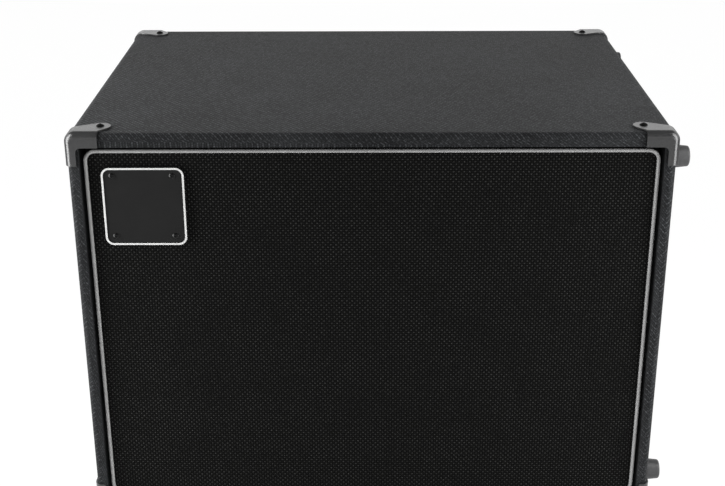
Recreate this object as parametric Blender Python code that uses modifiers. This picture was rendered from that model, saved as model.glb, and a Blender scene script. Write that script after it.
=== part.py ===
"""Bass speaker cabinet for stage use.

A plywood box with a textured vinyl covering, plastic corner protectors and rubber feet on its
base and on one side, so that it stands flat or on end. A cloth grille pulls off the front. Behind
it a baffle carries two woofers, a horn and two tuning ports. The back has a dish with two jacks
and a level knob for the horn.

Metres, +Z up, the front towards -Y. The world origin is under the middle of the object, on the
surface that it stands on. Sizes are written in millimetres times MM.
"""

import math

import bmesh
import bpy
from mathutils import Matrix, Vector

MM = 0.001

# Cabinet, without feet and corner protectors
CABINET_WIDTH = 590 * MM
CABINET_HEIGHT = 424 * MM
CABINET_DEPTH = 434.7 * MM
LONG_EDGE_RADIUS = 8.7 * MM
END_EDGE_RADIUS = 5.8 * MM
LONG_EDGE_SEGMENTS = 3
END_EDGE_SEGMENTS = 3

# Clearances, how far a cutter reaches past what it cuts, and the sides of small round pieces
GAP = 0.3 * MM
GRILLE_CLEARANCE = 3.5 * MM
CUTOUT_CLEARANCE = 1.2 * MM
COIL_CLEARANCE = 0.7 * MM
OVERCUT = 5 * MM
SMALL_SIDES = 8

# Sheet stock
VINYL = 0.6 * MM
PLY = 11.7 * MM
SIDE_PLY = 9.6 * MM
BAFFLE_THICKNESS = 15 * MM
BACK_THICKNESS = 12 * MM
BRACE_THICKNESS = 15 * MM
BRACE_MARGIN = 60 * MM
BRACE_WINDOW_RADIUS = 25 * MM
CLEAT = 18 * MM

# Where the boards stand between the front and the back
BAFFLE_SETBACK = 32 * MM
BACK_SETBACK = 3 * MM
FRONT_RETURN = 24 * MM
REAR_RETURN = 14 * MM

# Corner protectors: a moulded skin over three faces, with a screw tab on the top or bottom face
PROTECTOR_WALL = 1.7 * MM
PROTECTOR_PROUD = GAP + PROTECTOR_WALL
PROTECTOR_ACROSS = 31 * MM
PROTECTOR_DOWN = 32.2 * MM
PROTECTOR_BACK = 21.3 * MM
PROTECTOR_SIDE_END = 13 * MM
PROTECTOR_SIDE_MIDDLE = 17 * MM
PROTECTOR_FRONT_LEG = 9.4 * MM
PROTECTOR_INNER_RADIUS = 5 * MM
PROTECTOR_INNER_POINTS = 4
TAB_CENTRE = (30.8 * MM, 21.2 * MM)
TAB_RADIUS = 10.2 * MM
TAB_POINTS = 7
TAB_SCREW_RADIUS = 2.2 * MM

# Rubber feet, on the base and on the right side
FOOT_PROUD = 17.3 * MM
FOOT_BASE_RADIUS = 11.8 * MM
FOOT_END_RADIUS = 10.3 * MM
FOOT_ROUNDING = 2 * MM
FOOT_SCREW_RADIUS = 2.4 * MM
FOOT_WELL_RADIUS = 4.2 * MM
FOOT_WELL_DEPTH = 9 * MM
SIDE_FOOT_FROM_FRONT = 28.9 * MM
SIDE_FOOT_FROM_TOP = 32.4 * MM
BASE_FOOT_FROM_FRONT = 48 * MM
BASE_FOOT_FROM_SIDE = 64 * MM
FOOT_SIDES = 12

# Recessed side handles
HANDLE_FLANGE = (200 * MM, 116 * MM)
HANDLE_FLANGE_RADIUS = 20 * MM
HANDLE_POCKET = (172 * MM, 90 * MM)
HANDLE_MOUTH = (142 * MM, 52 * MM)
HANDLE_DEPTH = 44 * MM
HANDLE_WALL = 2.5 * MM
HANDLE_LIP = 1.6 * MM
HANDLE_LIP_WIDTH = 4 * MM
HANDLE_RADIUS = 14 * MM
HANDLE_RAISE = 22 * MM

# Grille: a cloth-covered frame with a piping bead round its edge, held by pegs in the baffle
PIPING_RADIUS = 1.8 * MM
PIPING_SETBACK = 3.6 * MM
PIPING_CORNER = 12 * MM
PIPING_CORNER_POINTS = 4
CLOTH = 0.8 * MM
GRILLE_BAR = 20 * MM
GRILLE_THICKNESS = 12 * MM
GRILLE_WINDOW_RADIUS = 6 * MM
PEG_RADIUS = 7 * MM
PIN_RADIUS = 4 * MM
PIN_LENGTH = 11 * MM
PIN_CLEARANCE = 0.5 * MM

# Badge plate on the grille, plain, with a raised border
BADGE_SIZE = 81.3 * MM
BADGE_THICKNESS = 3.2 * MM
BADGE_CORNER = 8.5 * MM
BADGE_BORDER = 2.3 * MM
BADGE_RECESS = 0.9 * MM
BADGE_FROM_SIDE = 30.8 * MM
BADGE_FROM_TOP = 34.9 * MM

# Woofers, measured from the baffle's front face
WOOFER_SPREAD = 137 * MM
WOOFER_RISE = 151.6 * MM
WOOFER_RADIUS = 129 * MM
WOOFER_LAND = 14 * MM
WOOFER_SIDES = 18
BASKET_SHEET = 1.6 * MM
BASKET_SHELF = 14 * MM
BASKET_TAPER = 6 * MM
BASKET_WINDOWS = 6
BASKET_SPOKE = 14 * MM
CONE_SHEET = 0.8 * MM
CONE_LIP = 3.5 * MM
CONE_BOW = 5.4 * MM
SURROUND_ROLL = 7 * MM
SURROUND_POINTS = 4
SURROUND_SHEET = 1 * MM
SURROUND_MARGIN = 2 * MM
SURROUND_LAND = 14.5 * MM
SPIDER_RADIUS = 65 * MM
SPIDER_DEPTH = 62 * MM
SPIDER_SHEET = 0.7 * MM
SPIDER_LIP = 7 * MM
SPIDER_LEDGE = 8 * MM
SPIDER_WAVES = 2
SPIDER_WAVE_HEIGHT = 2.4 * MM
DUST_CAP_RADIUS = 38 * MM
DUST_CAP_HEIGHT = 13 * MM
DUST_CAP_POINTS = 3
COIL_RADIUS = 25.7 * MM
NECK_DEPTH = 54 * MM
COIL_END_DEPTH = 90 * MM
PLATE_DEPTH = 78 * MM
PLATE_THICKNESS = 8 * MM
PLATE_RADIUS = 52 * MM
PLATE_LEDGE = 14 * MM
MAGNET_THICKNESS = 20 * MM
MAGNET_RADIUS = 70 * MM
MAGNET_BORE = 30 * MM
YOKE_THICKNESS = 8 * MM
YOKE_RADIUS = 65 * MM
YOKE_VENT = 10 * MM
TERMINAL = (16 * MM, 12 * MM, 12 * MM)

# Horn and its driver
HORN_RISE = 346 * MM
HORN_FLANGE = 104 * MM
HORN_MOUTH = 84 * MM
HORN_THROAT_RADIUS = 12.7 * MM
HORN_DEPTH = 76 * MM
HORN_WALL = 2.6 * MM
HORN_CORNER = 9 * MM
HORN_GROWTH = 1.4
HORN_SQUARENESS = 6
HORN_SIDES = 16
HORN_SECTIONS = 4
THROAT_FLANGE_RADIUS = 34 * MM
THROAT_FLANGE = 5 * MM
DRIVER_RADIUS = 45 * MM
DRIVER_LENGTH = 42 * MM
DRIVER_STEP = 8 * MM
DRIVER_CHAMFER = 4 * MM

# Tuning ports
PORT_SPREAD = 170 * MM
PORT_RISE = 346 * MM
PORT_RADIUS = 35 * MM
PORT_WALL = 3 * MM
PORT_LENGTH = 118 * MM
PORT_LIP = 6 * MM
PORT_LIP_SHEET = 2 * MM
PORT_SIDES = 18

# Input dish in the back board, with two jacks and the horn's level knob
DISH_RISE = 345 * MM
DISH_FLANGE = (156 * MM, 92 * MM)
DISH_POCKET = (130 * MM, 66 * MM)
DISH_DEPTH = 26 * MM
DISH_WALL = 2.5 * MM
DISH_RADIUS = 9 * MM
DISH_SPACING = 38 * MM
JACK_BORE = 3.3 * MM
JACK_NECK = 4.7 * MM
JACK_BODY_RADIUS = 10 * MM
JACK_BODY_LENGTH = 26 * MM
JACK_BODY_WALL = 2 * MM
JACK_NUT_RADIUS = 7.5 * MM
JACK_NUT_THICKNESS = 1.8 * MM
JACK_SIDES = 10
SHAFT_RADIUS = 3 * MM
SHAFT_LENGTH = 12 * MM
ATTENUATOR_RADIUS = 14 * MM
ATTENUATOR_LENGTH = 22 * MM
KNOB_RADIUS = 11 * MM
KNOB_LENGTH = 15 * MM
KNOB_TAPER = 1 * MM
KNOB_FLUTES = 12
KNOB_FLUTE_DEPTH = 0.9 * MM
KNOB_RIDGE = 2 * MM

# Crossover on the back board, behind the left woofer
CROSSOVER_CENTRE = (-150 * MM, 130 * MM)
CROSSOVER_SIZE = (120 * MM, 84 * MM)
CROSSOVER_BOARD = 2 * MM
CROSSOVER_CORNER = 3 * MM
SPACER_RADIUS = 4 * MM
SPACER_HEIGHT = 8 * MM
COIL_OUTER = 27 * MM
COIL_BORE = 12 * MM
COIL_HEIGHT = 22 * MM

# Damping batt under the top board
BATT_THICKNESS = 17 * MM
BATT_START = 165 * MM
BATT_MARGIN = 22 * MM

# Leads from the woofers to the crossover
LEAD_RADIUS = 2.2 * MM
LEAD_STRAIGHT = 14 * MM
LEAD_POINTS = 15
LEAD_SPREAD = 30 * MM

# Levels that follow from the sizes above
HALF_WIDTH = CABINET_WIDTH / 2
SIDE_TRIM = PLY - SIDE_PLY
SKIN = VINYL + GAP
BOARD_INSIDE = SKIN + PLY
OPENING_INSET = BOARD_INSIDE + GAP + VINYL
BAFFLE_BACK = BAFFLE_SETBACK + BAFFLE_THICKNESS
BACK_FACE = CABINET_DEPTH - BACK_SETBACK
BACK_INNER = BACK_FACE - BACK_THICKNESS
PIPING_INSET = OPENING_INSET + GRILLE_CLEARANCE
PIPING_DEPTH = PIPING_SETBACK + PIPING_RADIUS
GRILLE_FRONT = PIPING_SETBACK + 2 * PIPING_RADIUS + GAP
GRILLE_BACK = GRILLE_FRONT + GRILLE_THICKNESS
WOOFER_CUTOUT_RADIUS = WOOFER_RADIUS - WOOFER_LAND
CONE_RADIUS = WOOFER_RADIUS - SURROUND_MARGIN - SURROUND_LAND - 2 * SURROUND_ROLL
TERMINAL_INSIDE = PLATE_RADIUS + 3 * MM

PARTS = None
CUTTERS = None


def clear_scene():
    """Remove what the file opens with, and make the two collections."""
    global PARTS, CUTTERS
    for old in list(bpy.data.objects):
        bpy.data.objects.remove(old)
    PARTS = bpy.data.collections.new("bass_speaker_cabinet")
    CUTTERS = bpy.data.collections.new("cutters")
    bpy.context.scene.collection.children.link(PARTS)
    bpy.context.scene.collection.children.link(CUTTERS)


def finish(name, colour, roughness, metallic=0.0):
    """One plain material, made the first time that its name is asked for."""
    found = bpy.data.materials.get(name)
    if found:
        return found
    made = bpy.data.materials.new(name)
    made.use_nodes = True
    shader = made.node_tree.nodes["Principled BSDF"]
    shader.inputs["Base Color"].default_value = (*colour, 1.0)
    shader.inputs["Roughness"].default_value = roughness
    shader.inputs["Metallic"].default_value = metallic
    return made


def vinyl_finish():
    return finish("black_textured_vinyl", (0.045, 0.046, 0.048), 0.55)


def ply_finish():
    return finish("plywood", (0.50, 0.36, 0.22), 0.7)


def painted_ply_finish():
    return finish("black_painted_plywood", (0.02, 0.02, 0.02), 0.8)


def plastic_finish():
    return finish("black_moulded_plastic", (0.035, 0.035, 0.037), 0.38)


def rubber_finish():
    return finish("black_rubber", (0.04, 0.04, 0.042), 0.6)


def cloth_finish():
    return finish("black_grille_cloth", (0.008, 0.008, 0.008), 0.9)


def piping_finish():
    return finish("silver_grey_piping", (0.42, 0.42, 0.42), 0.4)


def steel_finish():
    return finish("black_pressed_steel", (0.03, 0.03, 0.03), 0.45, 0.6)


def bright_steel_finish():
    return finish("plated_steel", (0.62, 0.62, 0.60), 0.3, 1.0)


def ferrite_finish():
    return finish("ferrite", (0.05, 0.05, 0.055), 0.6)


def paper_finish():
    return finish("black_paper_cone", (0.03, 0.03, 0.03), 0.85)


def spider_finish():
    return finish("resin_cloth", (0.55, 0.42, 0.16), 0.85)


def copper_finish():
    return finish("enamelled_copper", (0.60, 0.25, 0.10), 0.35, 1.0)


def batt_finish():
    return finish("white_fibre_batt", (0.75, 0.74, 0.70), 0.95)


def facing(direction, up=(0, 0, 1)):
    """Rotation that turns local +Z to a direction and local +Y to up."""
    z = Vector(direction)
    y = Vector(up)
    x = y.cross(z)
    return Matrix((x, y, z)).transposed().to_euler()


def empty(name, location, rotation=(0, 0, 0), parent=None):
    """An empty that carries pieces."""
    made = bpy.data.objects.new(name, None)
    made.empty_display_size = 0.03
    made.location = location
    made.rotation_euler = rotation
    made.parent = parent
    PARTS.objects.link(made)
    return made


def piece(name, mesh, material, parent, location=(0, 0, 0), rotation=(0, 0, 0)):
    """A finished sub-part, placed under its parent."""
    made = bpy.data.objects.new(name, mesh)
    made.location = location
    made.rotation_euler = rotation
    made.parent = parent
    if mesh.materials:
        mesh.materials[0] = material
    else:
        mesh.materials.append(material)
    PARTS.objects.link(made)
    return made


def cutter(name, mesh, parent, location=(0, 0, 0), rotation=(0, 0, 0)):
    """A guide solid that only cuts, joins or limits others."""
    made = bpy.data.objects.new(name, mesh)
    made.location = location
    made.rotation_euler = rotation
    made.parent = parent
    made.hide_render = True
    made.display_type = "WIRE"
    CUTTERS.objects.link(made)
    return made


def boolean(target, tool, operation="DIFFERENCE"):
    """Cut, join or limit a piece by a guide solid."""
    modifier = target.modifiers.new(tool.name, "BOOLEAN")
    modifier.operation = operation
    modifier.object = tool
    modifier.solver = "EXACT"
    return target


def settled(obj):
    """The mesh that an object's modifiers give, as a mesh of its own."""
    bpy.context.view_layer.update()
    graph = bpy.context.evaluated_depsgraph_get()
    return bpy.data.meshes.new_from_object(obj.evaluated_get(graph))


def to_mesh(name, bm, smooth=False):
    """Turn a bmesh into a mesh whose faces point out."""
    bmesh.ops.recalc_face_normals(bm, faces=bm.faces)
    made = bpy.data.meshes.new(name)
    bm.to_mesh(made)
    bm.free()
    if smooth:
        made.shade_smooth()
        made.set_sharp_from_angle(angle=math.radians(35))
    return made


def box_bmesh(low, high):
    """A cube primitive, stretched between two corners."""
    bm = bmesh.new()
    bmesh.ops.create_cube(bm, size=1)
    size = Vector(high) - Vector(low)
    middle = (Vector(high) + Vector(low)) / 2
    bmesh.ops.scale(bm, vec=size, verts=bm.verts)
    bmesh.ops.translate(bm, vec=middle, verts=bm.verts)
    return bm


def edges_along(bm, axis):
    """The edges of a box that run along one axis."""
    def runs(edge):
        span = edge.verts[1].co - edge.verts[0].co
        return abs(span[axis]) > 0.999 * span.length
    return [edge for edge in bm.edges if runs(edge)]


def round_edges(bm, edges, radius, segments):
    """Round some edges of a bmesh."""
    bmesh.ops.bevel(bm, geom=edges, offset=radius, segments=segments, profile=0.5, affect="EDGES",
                    material=-1)


def box(name, low, high):
    return to_mesh(name, box_bmesh(low, high))


def slab(name, size, low, high, radius, segments=3):
    """A plate with rounded corners, standing along local Z between two levels."""
    half_x = size[0] / 2
    half_y = size[1] / 2
    bm = box_bmesh((-half_x, -half_y, low), (half_x, half_y, high))
    round_edges(bm, edges_along(bm, 2), radius, segments)
    return to_mesh(name, bm)


def envelope(name, low, high, grow):
    """The cabinet's outer form, grown all round: long edges and end edges rounded."""
    step = Vector((grow, grow, grow))
    low = Vector(low) - step
    high = Vector(high) + step
    bm = box_bmesh(low, high)
    round_edges(bm, edges_along(bm, 1), LONG_EDGE_RADIUS + grow, LONG_EDGE_SEGMENTS)
    ends = [edge for edge in bm.edges
            if all(abs(v.co.y - low.y) < 1e-6 for v in edge.verts)
            or all(abs(v.co.y - high.y) < 1e-6 for v in edge.verts)]
    round_edges(bm, ends, END_EDGE_RADIUS + grow, END_EDGE_SEGMENTS)
    return to_mesh(name, bm)


def cabinet_envelope(name, grow):
    low = (-HALF_WIDTH, 0, 0)
    high = (HALF_WIDTH, CABINET_DEPTH, CABINET_HEIGHT)
    return envelope(name, low, high, grow)


def inner_box(name, inset, front, back):
    """A box inside the cabinet, set in from top and base, and less far from the thinner sides."""
    reach = HALF_WIDTH - inset + SIDE_TRIM
    return box(name, (-reach, front, inset), (reach, back, CABINET_HEIGHT - inset))


def prism(name, outline, low, high, place):
    """An outline extruded between two levels; place turns (u, v, level) into a point."""
    bm = bmesh.new()
    face = bm.faces.new([bm.verts.new(place(u, v, low)) for u, v in outline])
    rise = Vector(place(0, 0, high)) - Vector(place(0, 0, low))
    grown = bmesh.ops.extrude_face_region(bm, geom=[face])
    moved = [item for item in grown["geom"] if isinstance(item, bmesh.types.BMVert)]
    bmesh.ops.translate(bm, vec=rise, verts=moved)
    return to_mesh(name, bm)


def arc(centre, radius, start, end, count):
    """Points on an arc, angles in degrees."""
    angles = [math.radians(start + (end - start) * k / (count - 1)) for k in range(count)]
    return [(centre[0] + radius * math.cos(a), centre[1] + radius * math.sin(a)) for a in angles]


def turned(name, profile, sides, closed=False, sheet=0.0):
    """A profile of (radius, height) points turned about Z; a sheet thickness makes it a shell."""
    made = bpy.data.meshes.new(name)
    count = len(profile)
    edges = [(k, k + 1) for k in range(count - 1)]
    if closed:
        edges.append((count - 1, 0))
    made.from_pydata([(r, 0, z) for r, z in profile], edges, [])
    guide = cutter(name + "_profile", made, None)
    screw = guide.modifiers.new("turn", "SCREW")
    screw.axis = "Z"
    screw.angle = math.tau
    screw.steps = sides
    screw.render_steps = sides
    screw.use_merge_vertices = True
    screw.merge_threshold = 0.00001
    screw.use_smooth_shade = True
    if sheet:
        shell = guide.modifiers.new("sheet", "SOLIDIFY")
        shell.thickness = sheet
        shell.offset = -1
        shell.use_even_offset = True
    result = settled(guide)
    result.name = name
    result.set_sharp_from_angle(angle=math.radians(35))
    bpy.data.objects.remove(guide)
    return result


def tube(name, points, radius, material, parent, cyclic=False, resolution=2):
    """A round tube along points, with filled ends."""
    curve = bpy.data.curves.new(name, "CURVE")
    curve.dimensions = "3D"
    curve.bevel_depth = radius
    curve.bevel_resolution = resolution
    curve.use_fill_caps = not cyclic
    spline = curve.splines.new("POLY")
    spline.points.add(len(points) - 1)
    for point, co in zip(spline.points, points):
        point.co = (*co, 1)
    spline.use_cyclic_u = cyclic
    made = bpy.data.objects.new(name, curve)
    made.parent = parent
    curve.materials.append(material)
    PARTS.objects.link(made)
    return made


def smooth_route(stops, count):
    """Points along a smooth curve (Catmull-Rom) through stops, with a straight run at each end."""
    stops = [Vector(stop) for stop in stops]
    spans = len(stops) - 3
    points = [stops[0]]
    for k in range(count):
        where = spans * k / (count - 1)
        span = min(int(where), spans - 1)
        t = where - span
        a, b, c, d = stops[span:span + 4]
        points.append(0.5 * (2 * b + (c - a) * t + (2 * a - 5 * b + 4 * c - d) * t ** 2
                             + (3 * b - a - 3 * c + d) * t ** 3))
    return points + [stops[-1]]


def make_carcass(root):
    """Covering, four outer boards, baffle, back, cleats and brace."""
    front_cut = -OVERCUT
    far = CABINET_DEPTH + OVERCUT
    inside = HALF_WIDTH - BOARD_INSIDE + SIDE_TRIM
    limit = cutter("board_envelope", cabinet_envelope("board_envelope", -SKIN), root)
    pocket = handle_cutter("handle_cut", root)

    skin = piece("vinyl_covering", cabinet_envelope("vinyl_covering", 0), vinyl_finish(), root)
    slot = cutter("board_slot", cabinet_envelope("board_slot", -VINYL), root)
    core_inset = BOARD_INSIDE + GAP
    core = cutter("slot_core", inner_box("slot_core", core_inset, front_cut, far), root)
    boolean(slot, core)
    opening = inner_box("covering_opening", OPENING_INSET, front_cut, far)
    boolean(skin, cutter("covering_opening", opening, root))
    boolean(skin, slot)
    back_of_return = CABINET_DEPTH - REAR_RETURN
    middle_inset = BOARD_INSIDE - GAP
    middle = inner_box("bare_middle", middle_inset, FRONT_RETURN, back_of_return)
    boolean(skin, cutter("bare_middle", middle, root))
    boolean(skin, pocket)

    reach = HALF_WIDTH + OVERCUT
    tall = (-OVERCUT, CABINET_HEIGHT + OVERCUT)
    for side, name in ((-1, "left_board"), (1, "right_board")):
        xs = sorted((side * inside, side * reach))
        mesh = box(name, (xs[0], front_cut, tall[0]), (xs[1], far, tall[1]))
        board = piece(name, mesh, ply_finish(), root)
        boolean(board, limit, "INTERSECT")
        boolean(board, pocket)
    span = inside - GAP
    levels = {"bottom_board": (tall[0], BOARD_INSIDE),
              "top_board": (CABINET_HEIGHT - BOARD_INSIDE, tall[1])}
    for name, (low, high) in levels.items():
        mesh = box(name, (-span, front_cut, low), (span, far, high))
        boolean(piece(name, mesh, ply_finish(), root), limit, "INTERSECT")

    fitted = BOARD_INSIDE + GAP
    baffle = piece("baffle_board", inner_box("baffle_board", fitted, BAFFLE_SETBACK, BAFFLE_BACK),
                   painted_ply_finish(), root)
    for tool in baffle_cutters(root):
        boolean(baffle, tool)
    back_inset = OPENING_INSET + GAP
    back = piece("back_board", inner_box("back_board", back_inset, BACK_INNER, BACK_FACE),
                 painted_ply_finish(), root)
    size = [length + 2 * CUTOUT_CLEARANCE for length in DISH_POCKET]
    dish_hole = slab("dish_hole", size, -2 * BACK_THICKNESS, BACK_THICKNESS, DISH_RADIUS)
    boolean(back, cutter("dish_hole", dish_hole, root, (0, BACK_FACE, DISH_RISE),
                         facing((0, 1, 0))))

    ring = BOARD_INSIDE + GAP
    starts = {"front_cleats": BAFFLE_BACK + GAP, "rear_cleats": BACK_INNER - GAP - CLEAT}
    for name, start in starts.items():
        frame = piece(name, inner_box(name, ring, start, start + CLEAT), ply_finish(), root)
        hole = inner_box(name + "_hole", ring + CLEAT, start - CLEAT, start + 2 * CLEAT)
        boolean(frame, cutter(name + "_hole", hole, root))
    make_brace(root)


def make_brace(root):
    """An upright between baffle and back, with a window, notched round the bottom cleats."""
    front = BAFFLE_BACK + GAP
    back = BACK_INNER - GAP
    base = BOARD_INSIDE + GAP
    top = HORN_RISE - HORN_FLANGE / 2 - 2 * CLEAT
    half = BRACE_THICKNESS / 2
    notch = CLEAT + GAP
    outline = [(front, base + notch), (front + notch, base + notch), (front + notch, base),
               (back - notch, base), (back - notch, base + notch), (back, base + notch),
               (back, top), (front, top)]
    mesh = prism("centre_brace", outline, -half, half, lambda u, v, w: (w, u, v))
    brace = piece("centre_brace", mesh, ply_finish(), root)
    size = (back - front - 2 * BRACE_MARGIN, top - base - 2 * BRACE_MARGIN)
    window = slab("brace_window", size, -2 * half, 2 * half, BRACE_WINDOW_RADIUS)
    middle = (0, (front + back) / 2, (base + top) / 2)
    boolean(brace, cutter("brace_window", window, root, middle, facing((1, 0, 0))))


def baffle_cutters(root):
    """Holes for woofers, ports, horn and grille pins."""
    tools = []
    through = 2 * BAFFLE_THICKNESS
    forward = facing((0, -1, 0))
    for side in (-1, 1):
        rounds = {"woofer_hole": (WOOFER_CUTOUT_RADIUS, WOOFER_SIDES, WOOFER_SPREAD, WOOFER_RISE),
                  "port_hole": (PORT_RADIUS + PORT_WALL + CUTOUT_CLEARANCE, PORT_SIDES,
                                PORT_SPREAD, PORT_RISE)}
        for name, (radius, sides, spread, rise) in rounds.items():
            profile = [(0, through), (radius, through), (radius, -through), (0, -through)]
            mesh = turned(name, profile, sides)
            place = (side * spread, BAFFLE_SETBACK, rise)
            tools.append(cutter(name, mesh, root, place, forward))
    width = HORN_MOUTH + 2 * HORN_WALL + 2 * CUTOUT_CLEARANCE
    hole = slab("horn_hole", (width, width), -through, through, HORN_CORNER)
    tools.append(cutter("horn_hole", hole, root, (0, BAFFLE_SETBACK, HORN_RISE), forward))
    depth = PIN_LENGTH + 2 * GAP
    radius = PIN_RADIUS + PIN_CLEARANCE
    for x, z in peg_places():
        profile = [(0, depth), (radius, depth), (radius, -depth), (0, -depth)]
        mesh = turned("pin_hole", profile, SMALL_SIDES)
        tools.append(cutter("pin_hole", mesh, root, (x, BAFFLE_SETBACK, z), forward))
    return tools


def peg_places():
    """Where the grille's pegs stand: the corners and halfway up the sides."""
    inset = PIPING_INSET + GRILLE_BAR / 2
    x = HALF_WIDTH - inset + SIDE_TRIM
    heights = (inset, CABINET_HEIGHT / 2, CABINET_HEIGHT - inset)
    return [(side * x, z) for side in (-1, 1) for z in heights]


def handle_place(side):
    height = CABINET_HEIGHT / 2 + HANDLE_RAISE
    return (side * HALF_WIDTH, CABINET_DEPTH / 2, height)


def handle_cutter(name, root):
    """One solid through both sides of the carcass, for the two handles."""
    size = [length + 2 * CUTOUT_CLEARANCE for length in HANDLE_POCKET]
    reach = HALF_WIDTH + OVERCUT
    mesh = slab(name, size, -reach, reach, HANDLE_RADIUS)
    place = handle_place(0)
    return cutter(name, mesh, root, place, facing((1, 0, 0)))


def protector_mesh():
    """The front top left protector, about its corner: a skin limited by three outlines."""
    block = 4 * PROTECTOR_DOWN
    low = (0, 0, -block)
    high = (block, block, 0)
    wall = cutter("protector_skin", envelope("protector_skin", low, high, PROTECTOR_PROUD), None)
    boolean(wall, cutter("protector_hollow", envelope("protector_hollow", low, high, GAP), None))

    out = -PROTECTOR_PROUD - PROTECTOR_WALL
    deep = LONG_EDGE_RADIUS * (1 - math.cos(math.pi / 4))
    corner = (PROTECTOR_ACROSS, END_EDGE_RADIUS)
    shoulder = (LONG_EDGE_RADIUS, PROTECTOR_BACK)
    tab = arc(TAB_CENTRE, TAB_RADIUS, tangent_angle(corner, 1), tangent_angle(shoulder, -1),
              TAB_POINTS)
    top = [(out, out), (PROTECTOR_ACROSS, out), corner, *tab, shoulder, (out, PROTECTOR_BACK)]
    side = [(out, out), (PROTECTOR_DOWN, out), (PROTECTOR_DOWN, PROTECTOR_SIDE_END),
            (PROTECTOR_DOWN / 2, PROTECTOR_SIDE_MIDDLE), (LONG_EDGE_RADIUS, PROTECTOR_BACK),
            (out, PROTECTOR_BACK)]
    elbow = (PROTECTOR_FRONT_LEG + PROTECTOR_INNER_RADIUS, OPENING_INSET + PROTECTOR_INNER_RADIUS)
    front = [(out, out), (PROTECTOR_ACROSS, out), (PROTECTOR_ACROSS, OPENING_INSET),
             *arc(elbow, PROTECTOR_INNER_RADIUS, 270, 180, PROTECTOR_INNER_POINTS),
             (PROTECTOR_FRONT_LEG, PROTECTOR_DOWN), (out, PROTECTOR_DOWN)]
    reach = prism("protector_top", top, out, deep, lambda u, v, w: (u, v, -w))
    limit = cutter("protector_top", reach, None)
    others = {"protector_side": (side, lambda u, v, w: (w, v, -u)),
              "protector_front": (front, lambda u, v, w: (u, w, -v))}
    for name, (outline, place) in others.items():
        boolean(limit, cutter(name, prism(name, outline, out, deep, place), None), "UNION")
    boolean(wall, limit, "INTERSECT")
    drill = [(0, block), (TAB_SCREW_RADIUS, block), (TAB_SCREW_RADIUS, -block), (0, -block)]
    hole = turned("protector_hole", drill, SMALL_SIDES)
    boolean(wall, cutter("protector_hole", hole, None, (*TAB_CENTRE, 0)))
    return settled(wall)


def tangent_angle(point, turn):
    """Angle on the tab's arc, in degrees, where a line from a point touches it."""
    away = Vector(point) - Vector(TAB_CENTRE)
    towards = math.degrees(math.atan2(away.y, away.x)) % 360
    if turn > 0:
        towards -= 360
    return towards + turn * math.degrees(math.acos(TAB_RADIUS / away.length))


def make_protectors(root):
    """Eight protectors: one form, mirrored to every corner."""
    form = protector_mesh()
    for side, left_right in ((-1, "left"), (1, "right")):
        for end, front_rear in ((0, "front"), (1, "rear")):
            for level, top_bottom in ((0, "bottom"), (1, "top")):
                name = f"corner_protector_{front_rear}_{top_bottom}_{left_right}"
                mesh = form.copy()
                flips = Matrix.Diagonal((-side, 1 - 2 * end, 2 * level - 1, 1))
                mesh.transform(flips)
                if flips.determinant() < 0:
                    mesh.flip_normals()
                place = (side * HALF_WIDTH, end * CABINET_DEPTH, level * CABINET_HEIGHT)
                piece(name, mesh, plastic_finish(), root, place)


def foot_mesh():
    """A tapered rubber foot with a rounded sole and a well for its screw."""
    sole = FOOT_PROUD
    well = sole - FOOT_WELL_DEPTH
    flat = FOOT_END_RADIUS - FOOT_ROUNDING
    sole_edge = arc((flat, sole - FOOT_ROUNDING), FOOT_ROUNDING, 90, 0, 3)
    profile = [(FOOT_WELL_RADIUS, sole), *sole_edge, (FOOT_BASE_RADIUS, GAP),
               (FOOT_SCREW_RADIUS, GAP), (FOOT_SCREW_RADIUS, well), (FOOT_WELL_RADIUS, well)]
    return turned("foot", profile, FOOT_SIDES, closed=True)


def make_feet(root):
    """Four feet under the base, and four on the right side."""
    form = foot_mesh()
    for left_right, x in (("left", -HALF_WIDTH + BASE_FOOT_FROM_SIDE),
                          ("right", HALF_WIDTH - BASE_FOOT_FROM_SIDE)):
        for front_rear, y in (("front", BASE_FOOT_FROM_FRONT),
                              ("rear", CABINET_DEPTH - BASE_FOOT_FROM_FRONT)):
            name = f"base_foot_{front_rear}_{left_right}"
            piece(name, form.copy(), rubber_finish(), root, (x, y, 0),
                  facing((0, 0, -1), (0, -1, 0)))
    for front_rear, y in (("front", SIDE_FOOT_FROM_FRONT),
                          ("rear", CABINET_DEPTH - SIDE_FOOT_FROM_FRONT)):
        for upper_lower, z in (("upper", CABINET_HEIGHT - SIDE_FOOT_FROM_TOP),
                               ("lower", SIDE_FOOT_FROM_TOP)):
            name = f"side_foot_{front_rear}_{upper_lower}"
            piece(name, form.copy(), rubber_finish(), root, (HALF_WIDTH, y, z), facing((1, 0, 0)))


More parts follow.
